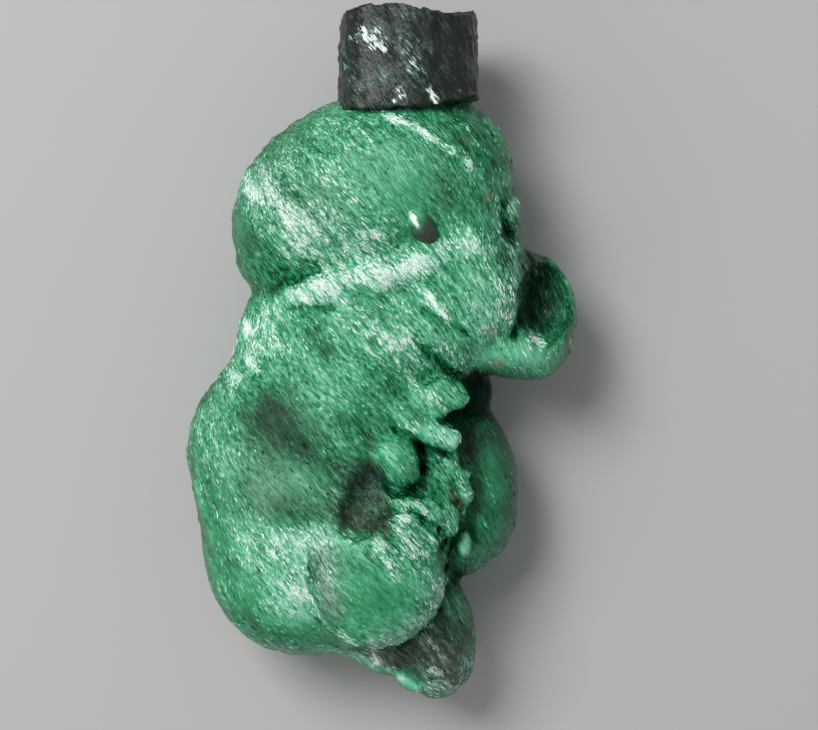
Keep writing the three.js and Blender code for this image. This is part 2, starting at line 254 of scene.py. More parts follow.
# %% The lobes, in millimetres
FORMS = [
    # Great lobes
    lump((-3.5, -4.4, 6.4), (7.45, 7, 6.8), 1),  # body
    lump((-2.6, -9.6, 6.2), (7.45, 6.9, 7.3), 1.8),  # belly
    lump((-4.9, -12, 6), (3.9, 3.7, 5.6), 2, turn=-35),  # lower left swelling
    lump((-0.7, 2.4, 6.6), (7, 5, 6.3), 2.5, turn=-14),  # neck
    lump((0.1, 11.1, 6.6), (8.6, 6.05, 6.8), 0.5, turn=20),  # upper lobe
    lump((4.9, 11.4, 7), (3.5, 4.4, 5.3), 1.5, turn=8),  # upper right swelling
    lump((5.6, 5.2, 7.2), (4.6, 4.3, 5.2), 2.4, turn=-25),  # right shoulder
    lump((-6.2, 7.2, 7.6), (1.5, 2, 2.6), 1, turn=12),  # overhang of the upper lobe
    # Band and ledges
    ridge((-6.3, 4.9, 8.2), (-3.2, 5, 11.2), (0.8, 1.2), 0.6),  # band, left
    ridge((-3.2, 5, 11.2), (0.2, 5.8, 11.2), (1.2, 1.2), 0.5),  # band, middle
    ridge((0.2, 5.8, 11.2), (5.8, 7.8, 11.2), (1.2, 1), 0.8),  # band, right
    ridge((0, -0.3, 9.4), (5, -0.9, 10), (3, 0.8), 0.7),  # upper ledge
    ridge((0.6, -1.9, 9.8), (4.3, -3, 10.2), (2.3, 0.7), 0.3),  # lower ledge
    plate((3.5, -1.35, 11.1), (2.25, 1, 0.95), 0.5, turn=28, lean=4, edge=0.4),  # top of the upper ledge
    plate((3.5, -3.1, 11.4), (1.85, 0.72, 0.8), 0.3, turn=-20, lean=7, edge=0.5),  # top of the lower ledge
    # Right side and foot
    lump((9.3, 3.95, 6), (3.07, 3.75, 4), 0.5),  # cup
    lump((8.7, 1.72, 7.4), (3, 1.6, 3), 0.9, turn=2),  # lip of the cup
    lump((10.2, 1.1, 7.2), (0.75, 0.9, 2.2), 0.5),  # chin of the lip
    lump((11.75, 1.95, 7.2), (0.4, 0.3, 0.5), 0.15),  # tooth of the rim
    lump((4.75, -6.4, 4.8), (4.15, 5.7, 4.4), 0.5),  # right lobe
    lump((6.4, -8.6, 4.8), (2.1, 2.2, 3.8), 0.8),  # its lower right
    lump((5.7, -0.6, 4.9), (1.7, 2.4, 2.6), 0.5),  # stone behind the notch
    lump((3.75, -15.3, 5.2), (2.55, 4.1, 3.9), 0.6, turn=6),  # foot
    lump((4.35, -16.7, 5), (1.85, 2.2, 3.3), 0.5),  # end of the foot
    lump((0.9, -16.2, 5), (3.6, 1.65, 3.2), 0.8, turn=-24),  # toe
    lump((3.4, -7.4, 8), (2.3, 3.8, 3.4), 0.6, turn=-12),  # rough rise
    lump((0.9, -11.6, 9.4), (3.5, 3.5, 3.4), 0.4),  # base of the front lobe
    lump((2.7, -10.2, 9.6), (1.9, 2.4, 3), 0.7),  # heel of the front lobe
    lump((0.6, -11.6, 12.3), (3.95, 3.95, 2.1), 0.12, lean=9, nod=12),  # front lobe, a lens
    # Folds
    *chain([(3.6, -4.1, 11), (4.7, -4.8, 11), (5.4, -5.7, 10.8), (5.6, -6.8, 10.4), (5.4, -7.8, 9.9)],
           (0.5, 0.55, 0.5, 0.42, 0.28), 0.4),  # outer fold
    *chain([(3.5, -4.6, 10.9), (4.3, -5.7, 10.9), (4.8, -6.9, 10.6)], (0.45, 0.5, 0.35), 0.4),  # second fold
    *chain([(3.4, -5.4, 10.8), (4, -6.4, 10.9), (4.3, -7, 10.8)], (0.4, 0.45, 0.35), 0.4),  # third fold
    *chain([(4.2, -7, 11.2), (4.8, -7.8, 11.3), (4.75, -8.5, 11.2), (4.1, -9.1, 11)],
           (0.35, 0.45, 0.5, 0.45), 0.3),  # curl
    *chain([(1.4, -7.2, 11.9), (3, -7.3, 12), (3.8, -7.9, 11.8), (3.7, -8.6, 11.7)],
           (0.6, 0.65, 0.6, 0.5), 0.45),  # inner bundle
    *chain([(1.9, -8.4, 12.5), (3, -9.8, 12.2), (3.9, -11.3, 11.4)], (0.8, 1, 0.7), 0.4),  # over the lobe
    lump((4.15, -8.5, 10.7), (0.5, 0.5, 0.6), 0.3),  # floor of the curl
    lump((1.65, -4.6, 11.5), (1.3, 1.8, 1.75), 0.6, turn=30),  # knob
    # Hollows
    dent((-0.3, -7, 13.7), (1.25, 2.1, 1.7), 0.35, turn=-12),  # pit beside the knob
    dent((3.1, -6.35, 12.5), (0.7, 0.35, 1.3), 0.25),  # hole under the knob
    dent((-5.4, -2.8, 16.6), (3.2, 3, 4.2), 1.5),  # shallow dish
    dent((10.4, 4.8, 10.9), (1.75, 3.05, 5.2), 0.25, turn=-6, lean=-8),  # hollow of the cup
    dent((3.2, 9.05, 13.7), (1.6, 0.9, 1), 0.2, turn=-48),  # socket of the drop
    crease((2.9, 2.2, 12.6), (5.6, 0, 11.2), (0.25, 1), 0.2),  # crease of the shoulder
    crease((-4.1, 4.15, 12.4), (-1.9, 4.15, 12.7), (0.12, 0.12), 0.2),  # crease under the band
    # Back knobs
    lump((-5.6, 9.2, 3.2), (2.6, 3, 2.6), 0.5),
    lump((-1.2, 12.6, 2.6), (3.6, 3, 2.8), 0.5),
    lump((4.2, 9.4, 2.6), (3, 3.2, 3), 0.5),
    lump((-3.6, 1.2, 2.4), (3.2, 3.4, 2.6), 0.6),
    lump((-8, -5.4, 3.4), (2.4, 3.2, 2.6), 0.5),
    lump((-4.4, -11.6, 2.4), (3.6, 3.4, 2.6), 0.5),
    lump((4.6, 3.2, 3.6), (3.4, 3, 2.6), 0.5),
    # Beads
    lump((8.4, 9.75, 8.8), (0.68, 1.25, 1.4), 0.25),  # bump on the right edge
    lump((5.55, -9.7, 9.2), (0.5, 0.85, 0.8), 0.1),  # pale bead
    lump((2.4, -18.1, 7.2), (0.95, 0.55, 0.7), 0.12, turn=-32),  # mint bead of the foot
]
print("forms:", len(FORMS))

# %% [markdown]
# ## The run of the fibres
# All the fibres run one way through the whole specimen, down to the right, like the
# grain of wood. They stand steeper at both edges than in the middle. A fibre is a
# curve y = drop(x) + constant, and every point's place across and along the fibres
# follows from it. Noise that is drawn in those coordinates comes out as streaks.

# %% The run of the fibres
GRAIN_X = np.array([-11, -8, -4, 0, 3, 6, 9, 13])  # mm across the specimen
GRAIN_DEGREES = np.array([57, 55, 50, 47, 50, 59, 66, 68])  # below +X
ACROSS = 0.6  # mm across the fibres to a mm along Y
ALONG = (0.62, -0.78)  # the way that most fibres run, in x and y
WAVER = (0.14, 1.9)  # mm, how far the fibres stray to the side, and over what length
PRIMES = np.array([73856093, 19349663, 83492791])  # for the scrambling of whole numbers
SCRAMBLE, SEED_STEP = 1274126177, 83492

fine_x = np.linspace(-14, 16, 601)
fine_slope = -np.tan(np.radians(np.interp(fine_x, GRAIN_X, GRAIN_DEGREES)))
fine_drop = np.concatenate([[0], np.cumsum((fine_slope[1:] + fine_slope[:-1]) / 2 * np.diff(fine_x))])


def fibre_direction(points):
    angle = np.radians(np.interp(points[:, 0], GRAIN_X, GRAIN_DEGREES))
    return np.stack([np.cos(angle), -np.sin(angle), 0 * angle], axis=1)


def noise(points, seed=0):
    """Smooth noise between -1 and 1, with one bump or hollow to a unit."""
    cell = np.floor(points).astype(np.int64)
    part = (points - cell).astype(np.float32)
    part = part * part * (3 - 2 * part)
    total = np.zeros(len(points), np.float32)
    for corner in range(8):
        offset = np.array([corner & 1, corner >> 1 & 1, corner >> 2])
        code = (cell + offset) @ PRIMES + seed * SEED_STEP
        code = (code ^ (code >> 13)) * SCRAMBLE & 0xFFFFFFFF
        value = ((code ^ (code >> 16)) & 0xFFFF) / 32767.5 - 1
        total += np.where(offset, part, 1 - part).prod(axis=1) * value
    return total


def grain_of(points):
    """Across, along and above the fibres, in mm."""
    across = (points[:, 1] - np.interp(points[:, 0], fine_x, fine_drop)) * ACROSS
    across = across + WAVER[0] * noise(points / WAVER[1], seed=14)
    along = points[:, 0] * ALONG[0] + points[:, 1] * ALONG[1]
    return np.stack([across, along, points[:, 2]], axis=1).astype(np.float32)


print("steepest grain:", GRAIN_DEGREES.max(), "degrees")

# %% [markdown]
# ## Seams and rough places
# Between the lobes run fine seams and raised streaks, and some places are rougher
# than others. Each is a mark: a path drawn on the face that is seen, with a width.
# The same kind of mark carries the colours further down.

# %% Marks
# A row of a table is one mark: its amount, its width in mm, the points of its path
# as x y x y, and where it is.
FADED = 2.4  # widths from its path, past which a mark is too faint to count


def rows_of(text):
    """The numbers in each row of a table."""
    return [[float(word) for word in row.split("#")[0].split()] for row in text.strip().split("\n")]


def marks(points, rows):
    """The sum of the marks at each point. A mark fades out over its width."""
    total = np.zeros(len(points))
    for amount, width, *path in rows:
        path = np.array(path, float).reshape(-1, 2)
        low, high = path.min(axis=0) - FADED * width, path.max(axis=0) + FADED * width
        near = np.flatnonzero(((points[:, :2] > low) & (points[:, :2] < high)).all(axis=1))
        flat = points[near, :2]
        square = np.full(len(near), np.inf)
        for first, last in zip(path, path[1:] if len(path) > 1 else path):
            along = last - first
            share = np.clip((flat - first) @ along / max(along @ along, TINY), 0, 1)
            square = np.minimum(square, ((flat - first - share[:, None] * along) ** 2).sum(axis=1))
        total[near] += amount * np.exp(-square / width**2)
    return total


print("a mark at its middle:", marks(np.zeros((1, 3)), [(1, 1, 0, 0)])[0])

# %% Seams, with their depths in mm, and rough places
SEAMS = rows_of("""
0.16 0.3  -7.4 5.2 -6.2 5.1 -5.5 5.4 -4.2 5.7 -3.2 6.1  # under the upper lobe
0.14 0.2  -4.4 4.3 -3.6 4.1 -2 4.2  # under the band
0.15 0.18  3.2 4 4.2 3.4 5.7 2.7  # of the shoulder
0.25 0.2  2.7 2.4 4.1 1.1 5.1 0.3  # crease of the shoulder
0.2 0.22  1.6 -2.9 2.5 -3.2 3 -3.8 3.15 -4.5 3.1 -5.3  # round the knob
0.1 0.2  4.15 -7.3 4.3 -8 4 -8.6  # inside the curl
0.06 0.18  4.9 -6.6 5.4 -7.5  # rusty line of the folds
0.05 0.16  -3.25 -10.4 -3.4 -11.8 -3.15 -13 -2.5 -14.1 -1.4 -15.1
0.16 0.3  -5.4 -8.1 -3.6 -8.1 -1.9 -8.4  # top of the shelf
-0.14 0.4  -5.2 -8.9 -3.6 -8.8 -2.1 -9  # shelf
0.08 0.14  3.5 -4.6 4.4 -5.3 5.1 -6.4 5.2 -7.2  # between the folds
0.16 0.12  3.3 -5.1 4 -5.9 4.4 -6.8
0.14 0.12  4 -4 5.2 -4.7 5.9 -5.9
0.14 0.12  1.6 -7.7 2.8 -7.7 3.5 -8.3
0.12 0.12  1.3 -6.7 2.6 -6.8 3.6 -7.3
0.22 0.25  8.95 3.9 8.45 2.5  # slit beside the cup
0.15 0.18  8.1 11.1 7.9 10.3 8.05 9.3 8.3 8.8  # beside the bump
0.25 0.18  4.4 -9.4 4.1 -10 4.5 -11.3  # right of the front lobe
-0.26 0.26  0.6 15.4 2.4 14.8 3.4 14.2 4.7 13.4 5.9 12.5  # raised streak
-0.14 0.16  5.6 15 6.2 14.2
-0.14 0.16  6.2 13.8 7.2 13.1
-0.2 0.2  3 5.2 3.6 4.8 4.6 3.8  # spur of the band
-0.2 0.22  0.6 -9.1 1.5 -10.9  # streaks over the front lobe
-0.2 0.22  1.5 -8.6 2.6 -10.2
-0.1 0.16  -3.5 -10.2 -3.55 -11.4 -3.4 -12.4 -2.9 -13.4 -2.3 -14.3  # pale rim
""")
ROUGH = rows_of("""
-0.4 2.6  0.2 -12.4 1 -12.8  # front lobe
-0.4 1.8  0.6 11.8 2.8 11.2  # middle of the upper lobe
-0.4 1.8  -6 -6.6 -4.6 -6.2  # middle of the body
-0.35 1.5  -5.2 -2.6  # shallow dish
-0.35 2.4  7.4 -3 7.6 -8  # right lobe
0.05 1.6  3.4 -15.4 4.6 -16.6  # foot
-0.35 1.2  -4.2 -14.4 -2 -15.6  # foot of the belly
-0.8 0.5  2 -17.9 2.9 -18.4  # mint bead
-0.3 1.6  -9 -8 -8.2 -11.5 -6.6 -13.2  # left flank
0.35 1.3  4.2 -4.6 5 -6.5 4.4 -8.4  # folds
0.5 1.2  8 7.6 8.4 4.6  # edge of the cup
0.35 1  -3.5 5.2 0 5.8 5 7.6  # band
0.25 1.8  1 2.6 3 -0.6  # throat
-0.3 1  1.3 -4.4  # knob
-0.4 0.9  2.6 -0.9 4.8 -0.2  # ledges
-0.4 0.8  3 -3 5 -3.5
0.1 0.9  -0.3 -6.2 -0.3 -8  # pit
-0.5 0.5  5.55 -9.4 5.55 -10  # pale bead
0.8 0.9  1.6 -9.2 3.2 -10  # bundle over the front lobe
0.3 1.5  -6 10.6 -4.6 8.4  # left of the upper lobe
-0.45 1.2  7.4 1.5 10.4 1.2  # lip of the cup
-0.35 1  -8 8.2 -7.2 11.8 -5.2 14.4 -2 16.2  # its left edge
""")
print("seams:", len(SEAMS))

# %% [markdown]
# ## The skin as a distance field
# The list of forms is folded into one distance, and a relief is added to it: slow
# swells, rounded bundles of fibres with sharp valleys between them, fine ribs, and
# the seams. The back is planed off at the height of the table, where it rests.

# %% The distance field
SWELL = (0.12, 7.0, 3.1)  # mm, height and spacing of the slow swells, and a shift of their noise
BUNDLE = (0.20, (0.80, 3.6, 2.4))  # mm, height, and size across, along and above the fibres
RIB = (0.09, (0.40, 1.5, 1.2))
EVEN_ROUGHNESS = 0.8
MEAN_VALLEY = 0.3  # mean of the noise without its sign, so that the bundles don't swell the skin
MARKED_ABOVE = (4, 2)  # mm, where the marks begin above the table, and over what height they come in


def blended(a, b, width):
    near = np.maximum(width - np.abs(a - b), 0) / width
    return np.minimum(a, b) - near * near * width / 4


def marked_in_front(points, rows):
    return np.clip((points[:, 2] - MARKED_ABOVE[0]) / MARKED_ABOVE[1], 0, 1) * marks(points, rows)


def roughness_of(points):
    return np.maximum(EVEN_ROUGHNESS + marked_in_front(points, ROUGH), 0.1)


def relief(points):
    grain = grain_of(points)
    swell = SWELL[0] * noise(points / SWELL[1] + SWELL[2], seed=1)
    bundle = BUNDLE[0] * (MEAN_VALLEY - np.abs(noise(grain / BUNDLE[1], seed=2)))
    rib = RIB[0] * noise(grain / RIB[1], seed=3)
    return swell + roughness_of(points) * (bundle + rib) + marked_in_front(points, SEAMS)


def skin_distance(points):
    total = FORMS[0][0](points)
    for distance, blend, cut in FORMS[1:]:
        other = distance(points)
        total = -blended(-total, other, blend) if cut else blended(total, other, blend)
    return np.maximum(total + relief(points), -points[:, 2])


print("distance at the middle, mm:", round(float(skin_distance(np.zeros((1, 3)) + 6)[0]), 2))

# %% [markdown]
# ## From field to mesh
# Where the field changes sign between two points of a grid, the skin passes between
# them. Each cell of the grid that the skin crosses gets one vertex for each separate
# patch of skin in it, and each crossed edge of the grid gets a four-sided face. The
# vertices then slide down the slope of the field until they lie on the skin.

# %% The patches of skin in a cell
# The corners of a cell are numbered by the bits of x, y and z, and an edge by its
# lower corner times 3 plus its axis.
CORNERS = [(corner, [corner & 1, corner >> 1 & 1, corner >> 2]) for corner in range(8)]
SQUARE = ((0, 0), (1, 0), (1, 1), (0, 1))


def patches_of(pattern):
    """The patch that each crossed edge of a cell belongs to, for one pattern of inside corners."""
    inside = [pattern >> corner & 1 for corner in range(8)]
    group = {}
    for corner in range(8):
        for axis in range(3):
            other = corner | 1 << axis
            if other != corner and inside[corner] != inside[other]:
                group[corner * 3 + axis] = corner * 3 + axis
    for axis in range(3):
        u, v = (axis + 1) % 3, (axis + 2) % 3
        for side in (0, 1):
            ring = [side << axis | a << u | b << v for a, b in SQUARE]
            for start in range(4):
                if inside[ring[start]] or not inside[ring[(start + 1) % 4]]:
                    continue
                end = start + 1
                while inside[ring[(end + 1) % 4]]:
                    end += 1
                pairs = [(ring[i % 4], ring[(i + 1) % 4]) for i in (start, end)]
                kept, joined = [group[min(a, b) * 3 + (a ^ b).bit_length() - 1] for a, b in pairs]
                group = {edge: kept if patch == joined else patch for edge, patch in group.items()}
    names = sorted(set(group.values()))
    row = np.full(24, -1)
    for edge, patch in group.items():
        row[edge] = names.index(patch)
    return row


PATCHES = np.array([patches_of(pattern) for pattern in range(256)])
PATCH_COUNTS = PATCHES.max(axis=1) + 1
print("patterns with two patches or more:", int((PATCH_COUNTS > 1).sum()))

# %% Sampling a field
# low: the corner of the grid, in mm. step: the side of a cell. counts: points along each side.


def sampled(field, low, step, counts):
    """The field at each point of the grid, one sheet of it after the other."""
    sheet = np.stack(np.meshgrid(0, *map(np.arange, counts[1:]), indexing="ij"), axis=-1).reshape(-1, 3)
    sheets = [field((low + (sheet + (i, 0, 0)) * step).astype(np.float32)) for i in range(counts[0])]
    return np.reshape(sheets, counts)


def slope_of(field, points, reach):
    slope = np.zeros(points.shape)
    for axis, aside in enumerate(np.eye(3) * reach):
        slope[:, axis] = (field(points + aside) - field(points - aside)) / (2 * reach)
    return slope


print("slope at the middle:", slope_of(skin_distance, np.full((1, 3), 6.0), reach=0.1).round(2)[0])

# %% Meshing a field
SETTLING = (2, 0.15, 0.3, 0.55)  # rounds, reach of the slope, its least square, and how far a vertex may go


def surface(field, low, high, step):
    """Vertices in mm and four-sided faces of the skin round the places where the field is below zero."""
    low = np.array(low, float)
    counts = [math.ceil((b - a) / step) + 1 for a, b in zip(low, high)]
    values = sampled(field, low, step, counts)
    inside = values < 0
    pattern = np.zeros([n - 1 for n in counts], int)
    for corner, shift in CORNERS:
        pattern |= inside[tuple(slice(s, n - 1 + s) for n, s in zip(counts, shift))].astype(int) << corner
    cells = np.argwhere((pattern > 0) & (pattern < 255))
    kinds = pattern[tuple(cells.T)]
    number = np.full(pattern.shape, -1)
    number[tuple(cells.T)] = np.arange(len(cells))
    first_vertex = np.concatenate([[0], np.cumsum(PATCH_COUNTS[kinds])])
    sums, crossings = np.zeros((first_vertex[-1], 3)), np.zeros(first_vertex[-1])
    for corner, shift in CORNERS:
        for axis in range(3):
            patch = PATCHES[kinds, corner * 3 + axis]
            rows = np.flatnonzero(patch >= 0)
            start = cells[rows] + shift
            end = start + np.eye(3, dtype=int)[axis]
            a, b = values[tuple(start.T)], values[tuple(end.T)]
            vertex = first_vertex[rows] + patch[rows]
            np.add.at(sums, vertex, start + np.eye(3)[axis] * (a / (a - b))[:, None])
            np.add.at(crossings, vertex, 1)
    points = low + sums / crossings[:, None] * step
    centres = low + (np.repeat(cells, PATCH_COUNTS[kinds], axis=0) + 0.5) * step
    rounds, reach, least, stray = SETTLING
    for _ in range(rounds):
        slope = slope_of(field, points, step * reach)
        length = np.maximum((slope**2).sum(axis=1), least)
        points -= slope * (field(points) / length)[:, None]
        points = np.clip(points, centres - step * stray, centres + step * stray)
    faces = []
    for axis in range(3):
        u, v = (axis + 1) % 3, (axis + 2) % 3
        here, there = [slice(1, None)] * 3, [slice(1, None)] * 3
        here[axis] = slice(0, -1)
        crossed = np.argwhere(inside[tuple(here)] != inside[tuple(there)])
        crossed[:, [u, v]] += 1
        crossed = crossed[(crossed[:, u] < counts[u] - 1) & (crossed[:, v] < counts[v] - 1)]
        ring = []
        for a, b in SQUARE:
            cell = crossed.copy()
            cell[:, u] -= a
            cell[:, v] -= b
            row = number[tuple(cell.T)]
            ring.append(first_vertex[row] + PATCHES[kinds[row], (a << u | b << v) * 3 + axis])
        ring = np.stack(ring, axis=1)
        outside = ~inside[tuple(crossed.T)]
        ring[outside] = ring[outside, ::-1]
        faces.append(ring)
    return points, np.concatenate(faces)


def mesh_object(name, points, faces, attributes):
    """A smooth object at the origin, in metres, with a value or vector a vertex for each attribute."""
    mesh = bpy.data.meshes.new(name)
    mesh.from_pydata(((points - MIDDLE) * MM).tolist(), [], faces.tolist())
    for key, values in attributes.items():
        kind, holder = ("FLOAT_VECTOR", "vector") if values.ndim == 2 else ("FLOAT", "value")
        layer = mesh.attributes.new(key, kind, "POINT")
        layer.data.foreach_set(holder, values.astype(np.float32).ravel())
    mesh.polygons.foreach_set("use_smooth", np.full(len(mesh.polygons), True))
    return placed(name, mesh)


print("rounds of settling:", SETTLING[0])

# %% [markdown]
# ## Where the stone is pale, dark, dull or silky
# The colour of malachite follows how its fibres grew: pale and silky where they lie
# open, deep where they are dense, dull olive where they are bruised. Soft spots carry
# that as attributes of the skin, together with painted light and shade: painted shade
# in creases, hollows and under overhangs, and painted sheen and glints on pale spots.
# The skin and the fibres that grow out of it share them, so that they agree. They fade
# out down the sides and on the back.

# %% Pale and mint soft spots
# Pale marks make the stone paler and give it more glinting fibres. They are partly pale stone and partly
# painted sheen, as on the left of the upper lobe, the band, the neck and the raised streak; the glints of the
# hollow and of the stub, the lip of the cup and the streaks over the front lobe are painted highlights.
PALE_AND_SHEEN = rows_of("""
0.38 1  -7 11.5 -5.9 10.4 -5.2 9.4 -4.6 8.4  # left of the upper lobe
0.23 2.1  -5.6 11 -3.6 8.8 -1.6 7.4
0.14 2.4  -4.6 13.6 -1.6 11
0.16 1  -2.6 15.2 -0.6 14.2
0.3 0.6  -4.2 7.4 -3.4 6.5
0.28 0.85  -4.2 4.9 -3 5.3 -1.6 5.8 -0.4 6.2  # band
0.38 0.7  0.7 5.9 1.8 6.2 2.9 6.8 4.1 7.4 5.6 8
0.2 0.9  -1 6.8 0.4 7.6 1.8 7.4
0.3 0.35  -0.3 8.6 0.5 8.5 0.9 9.2
0.75 0.7  -7 3 -6.2 3.5 -5.4 3.9  # neck
0.5 0.8  -8.1 0.4 -7.2 0.9 -6.4 1.9
0.16 1  -5.5 2 -4.6 0.6
0.3 0.45  -2.1 2.4 -0.9 1.1
0.26 0.45  0.5 3 1.4 1.9
0.26 0.45  1.5 2.9 2.7 1.7
0.34 0.4  1.6 0.8 2.2 0 2.9 -0.7 3.6 -1
0.24 0.4  3.4 2.6 4.6 1.9 5.8 1.2  # below the crease of the shoulder
0.1 2  0 3 3.6 0
0.45 0.34  2.7 5.3 3.4 4.9  # spur of the band
0.58 0.22  3.5 4.8 4.6 3.4
0.62 0.24  1 15.3 2.3 14.8 3.4 14.3 4.8 13.3  # raised streak
0.3 0.3  2.7 14.1 3.4 13.9
0.6 0.25  5.75 12.7 5.95 12.3
0.38 0.2  6.2 13.8 7.1 13.2
0.3 0.15  5 16 5.3 15.5
0.36 0.15  5.5 15 6.1 14.4
0.1 0.8  7.3 9.3 8.6 7.6  # right of the face
0.13 1.1  6.3 6.6 7.4 5
0.03 1.2  5.6 4.4 7 3.2 8 2.2
0.8 0.35  9.5 2.6 10.1 2.3  # lip of the cup
1 0.12  9.8 6.6 10 6.3  # glints in its hollow
0.8 0.1  10.4 5.5 10.7 5.2
0.7 0.1  10.6 4.2 10.8 3.9
0.05 0.8  8.4 1.3 10.4 1.3
0.3 0.35  2.4 -2.6 3.4 -3  # lower ledge
0.08 0.6  4.2 -3.2 4.9 -3.6
0.1 0.5  1.3 -4.2 2.2 -5.2  # knob
0.14 0.4  4.7 -4.9 5.4 -5.9  # folds
0.3 0.14  0.8 -5.9 2.4 -6.7
0.7 0.22  1.5 -8 2.2 -7.9
0.35 0.3  3 -7.2 3.3 -7.4
0.28 0.6  1.6 -7.4 3.2 -7.9
0.25 0.4  4.3 -9.1 4.9 -8.3
0.7 0.28  0.5 -9.2 1.3 -10.4  # streaks over the front lobe
0.2 0.5  0.9 -9.6 1.6 -11
0.5 0.34  1.6 -8.6 2.7 -9.8
0.09 1.3  -8.4 -6.6 -7.4 -9 -6.2 -11 -5.4 -12.2  # belly
0.12 1.2  -9.2 -2.4 -9 -5.6
0.14 0.5  -5.4 -9.1 -3.6 -8.9 -2.1 -9.1  # shelf
0.12 1.6  -4.6 -10.4 -4.2 -12
0.34 0.24  -3.6 -10.2 -3.65 -11.4 -3.5 -12.4 -3 -13.4 -2.1 -14.5 -0.6 -15.3
0.16 0.35  0.2 -15.3 1.6 -15 2.9 -14.1 3.8 -13 4.3 -11.8  # rims
0.25 0.2  -3 -15.7 -1 -16.3 1.5 -17.3
0.7 0.3  -1 20 -0.7 19.5  # glints of the stub
0.9 0.35  -0.3 20.4 0.2 19.5
0.6 0.25  0.5 20.3 0.9 19.3
0.3 0.35  1.8 20 2.3 19.2 2.9 18
1 0.22  1.7 16.9 1.9 16.6
1 0.13  1.45 16.2
0.9 0.16  3.5 16.9 3.9 16.3
0.8 0.12  5.3 16.9
""")
# Mint marks make the stone paler without more glints. On the beads, the toe, the rims, the shelf, the belly
# and the throat that is pale stone; on the band, the facet of the knob, the lip and the edge of the cup and
# right of the face it is painted light.
MINT_AND_PAINTED_LIGHT = rows_of("""
0.26 0.45  5.55 -9.4 5.55 -10  # pale bead
0.3 0.45  2 -17.8 2.9 -18.4  # mint bead
0.26 0.28  -3 -15.9 -1 -16.6 0.4 -17.3 1.8 -17.8  # edge of the toe
0.2 0.5  3.4 -2.8 5.1 -3.5  # tip of the lower ledge
0.12 0.45  0.2 -15.2 1.6 -14.9 2.9 -14 3.8 -12.9 4.2 -11.8  # rim of the front lobe
0.14 0.5  0.9 -4 1.2 -4.4  # facet of the knob
0.22 0.35  9.6 2.5 10.1 2.3  # lip of the cup
0.12 0.5  8.2 7.6 8.6 5.2 8.3 4.2  # edge of the cup
0.13 2.6  6.6 8 7.4 3.4 9.6 1.4  # right of the face
0.06 0.9  -4.2 4.9 -1.6 5.9 0.8 6.2  # left half of the band
0.12 0.9  -4 5 -1.6 5.8 1.8 6.2 5.6 8  # band
0.1 0.7  -5 -9.3 -2.4 -9.3  # shelf
0.07 2.6  -5.4 -9.8 -4.4 -12.4  # belly
0.11 0.7  -4.2 -10.4 -4.1 -12 -3.6 -13.2  # beside the front lobe
0.04 2.4  0.4 2.6 2.6 0.4  # throat
0.06 0.7  -0.9 -14 0.6 -14.6  # front lobe
0.06 0.8  2.2 -11 2.7 -12
""")
print("pale and mint soft spots:", len(PALE_AND_SHEEN), len(MINT_AND_PAINTED_LIGHT))

# %% Dark, dull and rusty soft spots
# Dark marks are partly darker stone, as on the shallow dish, the middle of the body and the front lobe, and
# partly painted shade: in the creases under the upper lobe, the band and the shoulder, in the hollow of the
# cup, the hole under the knob, under the lower ledge and round the socket of the drop.
DARK_AND_SHADE = rows_of("""
0.35 1.6  -5.8 -2 -4.9 -2.9  # shallow dish
0.08 2.6  -5.6 -6 -4.4 -6.6  # middle of the body
0.08 2.6  0.4 -11.6 1 -12.4  # front lobe
0.08 0.8  -1 -10.4 0.4 -10.8
0.08 0.9  -0.6 -12.8 1.6 -12.9
0.07 1.4  -4 -3.6 -2.4 -5
0.12 0.7  -5.2 -7.5 -2.4 -7.8  # above the shelf
0.14 1.2  -3.4 -4 -1.6 -5.2
0.3 0.35  -5.6 5.4 -4.8 5.8 -3.7 6  # under the upper lobe
0.17 1.3  -7.2 8.3 -6 6.4
0.12 0.9  -4.9 11.1 -4.6 10.6
0.14 1  4 11.4 4.3 10.8
0.15 0.9  5.2 14.4 6.2 13.4
0.15 0.8  5.4 15.7 6.6 14.5 7.4 12.9  # right of the raised streak
0.16 0.25  -4.3 4.2 -3.6 4.1 -2.1 4.15  # under the band
0.22 0.7  -3.3 2.9 -2.5 1.6  # neck
0.22 0.35  3.2 1.8 4.2 0.9 4.9 0.1  # crease of the shoulder
0.18 0.25  3.3 4 4.2 3.4 5.6 2.8
0.22 0.7  -1.5 -2.2 0.3 -3.2
0.1 0.7  0 1.1 1 -0.3  # throat
0.08 0.9  4.2 6 4.9 4.6  # under the band, right
0.36 1  9.4 7.3 9.7 6.4 9.7 3.6  # hollow of the cup
0.2 1.3  10.8 6.4 11 4
0.12 0.5  7.9 8.8 8.1 6.9  # between the bump and the cup
0.3 0.25  8.9 3.7 8.45 2.5
0.2 0.5  8.3 9.2 8.3 8.6
0.18 0.6  7.7 7 7.4 6.4
0.12 0.45  2.6 -6.4 3.7 -6.4  # hole under the knob
0.16 0.25  3.4 -4 4.6 -4.3  # under the lower ledge
0.3 0.5  3.2 9.05 3.7 8.5  # socket of the drop
0.12 1  -7.4 -14.2 -3 -15.2  # foot of the belly
0.07 1.1  -9.5 -6.5 -8.9 -10.5 -7 -13.4
0.05 0.2  -3.1 -10.6 -3.15 -11.8 -2.9 -12.9 -2.2 -13.9  # edge of the front lobe
""")
